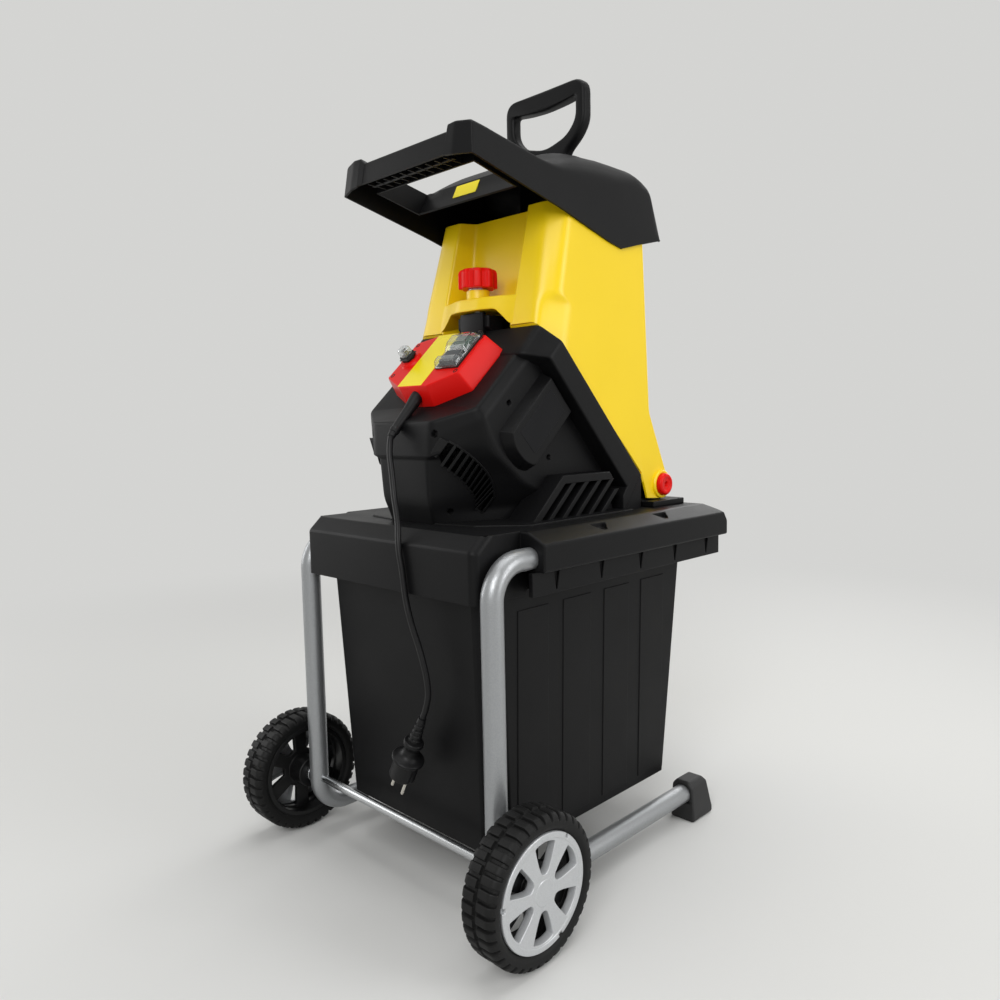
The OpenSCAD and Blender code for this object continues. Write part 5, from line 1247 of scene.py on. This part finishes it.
def cap_shell():
    """Cap: sections across the machine, from the flank's lower edge up and over, carried from the carrying
    handle's bar to the hood's front. The opening behind the hood has walls that run down to its own rim."""
    def low(x, y):
        return (x, y, float(np.interp(y, *CAP_LOW)))

    halves = [
        [low(133, 46), low(133, 43), (106, 34, 951), (90, 34, 953), (85, 39, 956)],
        [low(133, 56), (128.5, 47, 990), (104, 41.5, 993), (91, 42, 992.5), (85, 45, 986)],
        [low(133, 78), (127.8, 70, 987.5), (110, 67, 988.5), (93, 67, 987.5), (85, 67, 983)],
        [low(133, 84), (127.6, 80, 985.8), (113, 78, 987), (101, 78, 986), (85, 77, 981.5)],
        [low(133.5, 172), (127.8, 170, 970), (115, 170, 971), (101, 172, 966), (60, 171, 966)],
        [low(134, 205), (129, 203, 964.5), (120, 203, 973), (75, 200, 986), (58, 200, 987)],
        [low(134, 262), (130, 245, 966), (112, 245, 992), (84, 246, 1004.5), (58, 246, 1005)],
        [low(134, 312), (131, 314, 971), (111, 314, 998), (84, 314, 1005.6), (58, 314, 1006)],
        [low(134, 340), (131.3, 348, 973), (111, 348, 998), (84, 348, 1005.6), (58, 348, 1006)],
        [low(134, 385), (131, 392, 980), (110, 394, 998), (82, 396, 1004), (56, 396, 1005)],
        [low(134, 424), (131, 414, 972), (109, 417, 980), (80, 419, 984), (54, 419, 985)],
        [low(134, 438), low(131, 440), low(108, 440), low(80, 440), low(54, 440)]]
    soft, crisp = [4, 10, 20, 30, 12], [4, 5, 3, 0, 0]
    bends = np.array([crisp] * 5 + [soft] * 7).T
    shell = cage([mirrored(half) for half in halves], np.concatenate([bends, bends[::-1]]),
                 [0, 4, 5, 0, 0, 28, 30, 0, 0, 14, 7, 0], 12, holes=[(3, 4, 3, 6), (7, 8, 4, 5)])
    edge = [halves[3][3], halves[4][3], halves[4][4]]
    edge = mirrored(edge) + [(-85, 77, 981.5), (85, 77, 981.5)]
    rim = [(101, 76, 953), (101, 154, 935), (60, 154, 935)]
    rim = mirrored(rim) + [(-85, 76, 953), (85, 76, 953)]
    mid = [tuple(np.add(a, b) / 2 + (0, 1.5 * (a[1] > 120), 0)) for a, b in zip(edge, rim)]
    walls = cage([edge, mid, rim], 0.2, [0, 14, 0], 12, closed=True)
    return joined([shell, walls])


def grip_ribs():
    """Finger ribs under the handle's bar, and a lip across them."""
    rib = [(44.5, 955), (76, 954), (76, 972), (62, 977), (49, 977)]
    ribs = [plate(rib, x - 1.2, x + 1.2, 0.5, across_x) for x in np.linspace(-78, 78, 10)]
    lip = rounded([(0, 0), (6, 0), (6, 3), (0, 3)], 0.8, 3)
    ribs.append(swept([(-84, 62, 958), (84, 62, 958)], lip))
    return joined(ribs)


def make_cap():
    """Cap with its ribs and a bare label on the wall behind the opening, whose line of (z, y) it follows."""
    piece("hopper_cap_shell", cap_shell(), "black", "hopper", "hopper_cap", bevel=0.8, wall=3)
    piece("grip_ribs", grip_ribs(), "black", "hopper")
    line = [(940, 154), (945.4, 157.2), (952.1, 161.1), (956.3, 163.3), (960.5, 165.2), (966.6, 168)]
    label = plate(box_outline(-30, 17, 946.5, 964.5, 1.2), -0.6, 0.8, 0.2,
                  lambda a, b, h: (a, np.interp(b, *np.transpose(line)) - h, b))
    piece("cap_label_bare", label, "label", "hopper")


def make_pusher():
    """Pusher's handle: rays from its middle cut the outer outline and the opening, and a rounded section
    runs round the loop between them; collar, stem and foot are plates with rounded rims."""
    # The handle's plane ahead of the axle, and the rays' middle in it as (x, z)
    ahead, middle = 331, (0, 1084)
    outer = rounded([(80, 1128), (-80, 1128), (-80, 1067), (-68, 1048), (-42, 1027), (-38, 1006), (38, 1006),
                     (42, 1027), (68, 1048), (80, 1067)], [22, 22, 14, 14, 14, 1, 1, 14, 14, 14], 7)
    inner = rounded([(62, 1105), (36, 1101), (0, 1098), (-36, 1101), (-62, 1105), (-62, 1072), (-44, 1052),
                     (0, 1040), (44, 1052), (62, 1072)], [6, 14, 14, 14, 6, 12, 16, 18, 16, 12], 7)
    outer, inner = [refined(line, 3, closed=True) for line in (outer, inner)]
    around = [np.arctan2(line[:, 1] - middle[1], line[:, 0] - middle[0]) for line in (outer, inner)]
    reach = [np.hypot(line[:, 1] - middle[1], line[:, 0] - middle[0]) for line in (outer, inner)]
    phi = np.unique(np.round(np.concatenate(around), 6))
    out, opening = [np.interp(phi, np.sort(a), r[np.argsort(a)], period=2 * np.pi)
                    for a, r in zip(around, reach)]
    r, y = np.stack([out, out, opening, opening]), np.array([-10, 10, 10, -10])[:, None]
    net = np.stack([middle[0] + r * np.cos(phi), ahead + y + 0 * r, middle[1] + r * np.sin(phi)], -1)
    shapes = [sheet(rounded(net, 6.5, 7), wrap_rows=True, wrap_cols=True)]
    # Collar, step, stem and foot, as half width, half depth, corner, height from, to, and ease
    for x, y, corner, low, high, ease in ((75, 31, 8, 1006.3, 1012.5, 2.4), (52, 16, 9, 1010, 1022, 3),
                                          (50, 12, 3, 740, 1010, 1), (56, 14, 3, 730, 741, 1.1)):
        shapes.append(plate(box_outline(-x, x, ahead - y, ahead + y, corner), low, high, ease, upright))
    piece("pusher_grip", joined(shapes), "black", "pusher", "pusher")


# Solids inside the housing and the hinge that keep their shape and only take a finish
DRIVE = {
    "steel": ["hinge_pins", "knife_screws", "spindle", "spindle_bearings", "motor_bearings"],
    "blade": ["knives", "blade_disc", "counter_blade"],
    "iron": ["motor_stator", "motor_rotor"],
    "alloy": ["bearing_plate", "motor_brackets", "driven_pulley", "drive_pulley"],
    "brass": ["brush_holders"],
    "dark": ["motor_fan", "safety_switch"],
    "cord": ["drive_belt"],
}


def make_drive():
    """Gives the unseen solids their finishes."""
    for finish, nodes in DRIVE.items():
        for node in nodes:
            materials = frame["nodes"][node].data.materials
            materials.clear()
            materials.append(FINISHES[finish])


# Strength at which the backdrop and the far floor show
BACKDROP = 0.95


def seen_directly(tree):
    """1 where a ray from the eye, straight, mirrored or through clear plastic, meets the surface, else 0."""
    path = add(tree, "ShaderNodeLightPath")
    seen = path.outputs["Is Camera Ray"]
    for key in ("Is Glossy Ray", "Is Transmission Ray"):
        seen = add(tree, "ShaderNodeMath", {0: seen, 1: path.outputs[key]}, operation="MAXIMUM").outputs[0]
    return seen


def make_camera():
    """Camera at the photo's place and viewing angle: azimuth, dip and roll."""
    scene = bpy.context.scene
    az, dip, roll = math.radians(44.81), math.radians(5.59), math.radians(-1.15)
    look = Vector((-math.sin(az) * math.cos(dip), math.cos(az) * math.cos(dip), -math.sin(dip)))
    level = Vector((math.cos(az), math.sin(az), 0))
    rise = level.cross(look)
    right = level * math.cos(roll) + rise * math.sin(roll)
    top = rise * math.cos(roll) - level * math.sin(roll)
    camera = bpy.data.objects.new("Camera", bpy.data.cameras.new("Camera"))
    camera.data.lens = 29.608
    camera.data.sensor_width = 36
    camera.data.clip_end = 60
    turn = Matrix((right, top, -look)).transposed().to_4x4()
    camera.matrix_world = Matrix.Translation((0.86819, -0.86616, 0.62995)) @ turn
    scene.collection.objects.link(camera)
    scene.camera = camera


def make_backdrop():
    """World of one pale colour, which lights the machine less than it shows."""
    world = bpy.data.worlds.new("Studio")
    world.use_nodes = True
    bpy.context.scene.world = world
    tree = world.node_tree
    back = tree.nodes["Background"]
    glow = add(tree, "ShaderNodeMapRange", {"Value": seen_directly(tree), "To Min": 0.42, "To Max": BACKDROP})
    back.inputs["Color"].default_value = colours().floor
    tree.links.new(glow.outputs["Result"], back.inputs["Strength"])


def make_floor():
    """Floor: rings of a disc round the frame's middle, radius growing with the square of the row."""
    pale = colours().floor
    rings = 8000 * np.linspace(0, 1, 24)[:, None] ** 2
    a = np.linspace(0, 2 * np.pi, 96, endpoint=False)[None, :]
    disc = np.stack([rings * np.cos(a), rings * np.sin(a) - 1000 * AXLE_Y, 0 * rings * a - 0.4], -1)
    points, faces = sheet(disc, wrap_cols=True)
    mesh = mesh_of("floor", (points, [face[::-1] for face in faces]))
    floor = bpy.data.objects.new("floor", mesh)
    bpy.context.scene.collection.objects.link(floor)
    # Paper, pressed: a flat pale grey that takes soft shadows and fades into the backdrop
    finish, tree, shader, place = new_finish("Matt studio paper")
    mesh.materials.append(finish)
    fibre = add(tree, "ShaderNodeTexNoise", {"Vector": place, "Scale": 1000 / 25, "Detail": 4.0})
    bump = add(tree, "ShaderNodeBump", {"Height": fibre.outputs["Fac"], "Strength": 0.05, "Distance": 0.0005})
    tree.links.new(bump.outputs["Normal"], shader.inputs["Normal"])
    shader.inputs["Base Color"].default_value = pale
    shader.inputs["Roughness"].default_value = 0.8
    far = add(tree, "ShaderNodeVectorMath", {0: place}, operation="LENGTH")
    fade = add(tree, "ShaderNodeMapRange", {"Value": far.outputs["Value"], "From Min": 0.9, "From Max": 2.6},
               interpolation_type="SMOOTHSTEP")
    share = add(tree, "ShaderNodeMath", {0: fade.outputs["Result"], 1: seen_directly(tree)},
                operation="MULTIPLY")
    glow = add(tree, "ShaderNodeEmission", {"Color": pale, "Strength": BACKDROP})
    mix = add(tree, "ShaderNodeMixShader",
              {"Fac": share.outputs[0], 1: shader.outputs[0], 2: glow.outputs[0]})
    tree.links.new(mix.outputs[0], tree.nodes["Material Output"].inputs["Surface"])


def make_lamps():
    """Soft boxes round the machine, each turned to its aim."""
    boxes = {
        # name: place, aim, width, height, watts
        "Key softbox": ((1.5, -2.3, 2.0), (0, 0, 0.55), 1.6, 1.6, 46),
        "Fill softbox": ((-2.6, -1.2, 1.2), (0, 0, 0.5), 1.4, 1.8, 20),
        "Top softbox": ((0.1, 0.2, 2.9), (0, 0, 0.5), 2.2, 2.2, 30),
        "Side softbox": ((2.6, 0.9, 1.3), (0, 0, 0.5), 1.2, 1.8, 27),
        "Front softbox": ((-0.4, 2.9, 1.5), (0, 0, 0.5), 1.8, 1.6, 24),
    }
    for name, (spot, aim, wide, high, watts) in boxes.items():
        lamp = bpy.data.lights.new(name, "AREA")
        lamp.shape = "RECTANGLE"
        lamp.size, lamp.size_y = wide, high
        lamp.energy = watts
        made = bpy.data.objects.new(name, lamp)
        made.location = spot
        made.rotation_euler = (Vector(aim) - Vector(spot)).to_track_quat("-Z", "Y").to_euler()
        bpy.context.scene.collection.objects.link(made)


def make_stage():
    """Camera, backdrop, floor and soft boxes."""
    bpy.context.scene.view_settings.view_transform = "Standard"
    make_camera()
    make_backdrop()
    make_floor()
    make_lamps()


# Operators, in the order in which they run

class SHREDDER_OT_stage(bpy.types.Operator):
    """Camera, floor, backdrop and lights."""
    bl_idname = "shredder.stage"
    bl_label = "Stage"

    def execute(self, context):
        make_stage()
        return {"FINISHED"}


class SHREDDER_OT_finishes(bpy.types.Operator):
    """Materials of all pieces."""
    bl_idname = "shredder.finishes"
    bl_label = "Finishes"

    def execute(self, context):
        make_finishes()
        return {"FINISHED"}


class SHREDDER_OT_cord(bpy.types.Operator):
    """Lead with its sleeve and plug."""
    bl_idname = "shredder.cord"
    bl_label = "Mains lead"

    def execute(self, context):
        make_cord()
        return {"FINISHED"}


class SHREDDER_OT_frame(bpy.types.Operator):
    """Tubes, axle and feet."""
    bl_idname = "shredder.frame"
    bl_label = "Frame"

    def execute(self, context):
        make_frame()
        return {"FINISHED"}


class SHREDDER_OT_wheels(bpy.types.Operator):
    """Tyres, cores and covers."""
    bl_idname = "shredder.wheels"
    bl_label = "Wheels"

    def execute(self, context):
        make_wheels()
        return {"FINISHED"}


class SHREDDER_OT_base(bpy.types.Operator):
    """Cover under the housing, with the bin's rails."""
    bl_idname = "shredder.base"
    bl_label = "Base"

    def execute(self, context):
        make_base()
        return {"FINISHED"}


class SHREDDER_OT_bin(bpy.types.Operator):
    """Bin for the chips."""
    bl_idname = "shredder.bin"
    bl_label = "Bin"

    def execute(self, context):
        make_bin()
        return {"FINISHED"}


class SHREDDER_OT_housing(bpy.types.Operator):
    """Motor housing with its screws."""
    bl_idname = "shredder.housing"
    bl_label = "Housing"

    def execute(self, context):
        make_housing()
        return {"FINISHED"}


class SHREDDER_OT_lock(bpy.types.Operator):
    """Knob, screw, washer and bracket."""
    bl_idname = "shredder.lock"
    bl_label = "Lock"

    def execute(self, context):
        make_lock()
        return {"FINISHED"}


class SHREDDER_OT_switch(bpy.types.Operator):
    """Switch box with its buttons, flap and reset."""
    bl_idname = "shredder.switch"
    bl_label = "Switch"

    def execute(self, context):
        make_switch()
        return {"FINISHED"}


class SHREDDER_OT_hopper(bpy.types.Operator):
    """Hopper on its hinges."""
    bl_idname = "shredder.hopper"
    bl_label = "Hopper"

    def execute(self, context):
        make_hopper()
        return {"FINISHED"}


class SHREDDER_OT_cap(bpy.types.Operator):
    """Cap with the carrying handle."""
    bl_idname = "shredder.cap"
    bl_label = "Cap"

    def execute(self, context):
        make_cap()
        return {"FINISHED"}


class SHREDDER_OT_pusher(bpy.types.Operator):
    """Pusher with its D-shaped handle."""
    bl_idname = "shredder.pusher"
    bl_label = "Pusher"

    def execute(self, context):
        make_pusher()
        return {"FINISHED"}


class SHREDDER_OT_drive(bpy.types.Operator):
    """Motor, belt and cutter inside the housing."""
    bl_idname = "shredder.drive"
    bl_label = "Drive"

    def execute(self, context):
        make_drive()
        return {"FINISHED"}


OPERATORS = [
    SHREDDER_OT_stage, SHREDDER_OT_finishes, SHREDDER_OT_cord, SHREDDER_OT_frame,
    SHREDDER_OT_wheels, SHREDDER_OT_base, SHREDDER_OT_bin, SHREDDER_OT_housing,
    SHREDDER_OT_lock, SHREDDER_OT_switch, SHREDDER_OT_hopper, SHREDDER_OT_cap,
    SHREDDER_OT_pusher, SHREDDER_OT_drive]


class SHREDDER_PT_panel(bpy.types.Panel):
    """Lists the pieces and the settings."""
    bl_label = "Garden shredder"
    bl_idname = "SHREDDER_PT_panel"
    bl_space_type = "VIEW_3D"
    bl_region_type = "UI"
    bl_category = "Shredder"

    def draw(self, context):
        for made in OPERATORS:
            self.layout.operator(made.bl_idname)
        for group in (context.scene.shredder_colours, context.scene.shredder_sizes):
            for key in group.__annotations__:
                self.layout.prop(group, key)


CLASSES = [ShredderColours, ShredderSizes, *OPERATORS, SHREDDER_PT_panel]


def register():
    for made in CLASSES:
        bpy.utils.register_class(made)
    bpy.types.Scene.shredder_colours = PointerProperty(type=ShredderColours)
    bpy.types.Scene.shredder_sizes = PointerProperty(type=ShredderSizes)


def unregister():
    del bpy.types.Scene.shredder_colours
    del bpy.types.Scene.shredder_sizes
    for made in reversed(CLASSES):
        bpy.utils.unregister_class(made)


def main():
    register()
    for made in OPERATORS:
        getattr(bpy.ops.shredder, made.bl_idname.split(".")[1])()


if __name__ == "__main__":
    main()
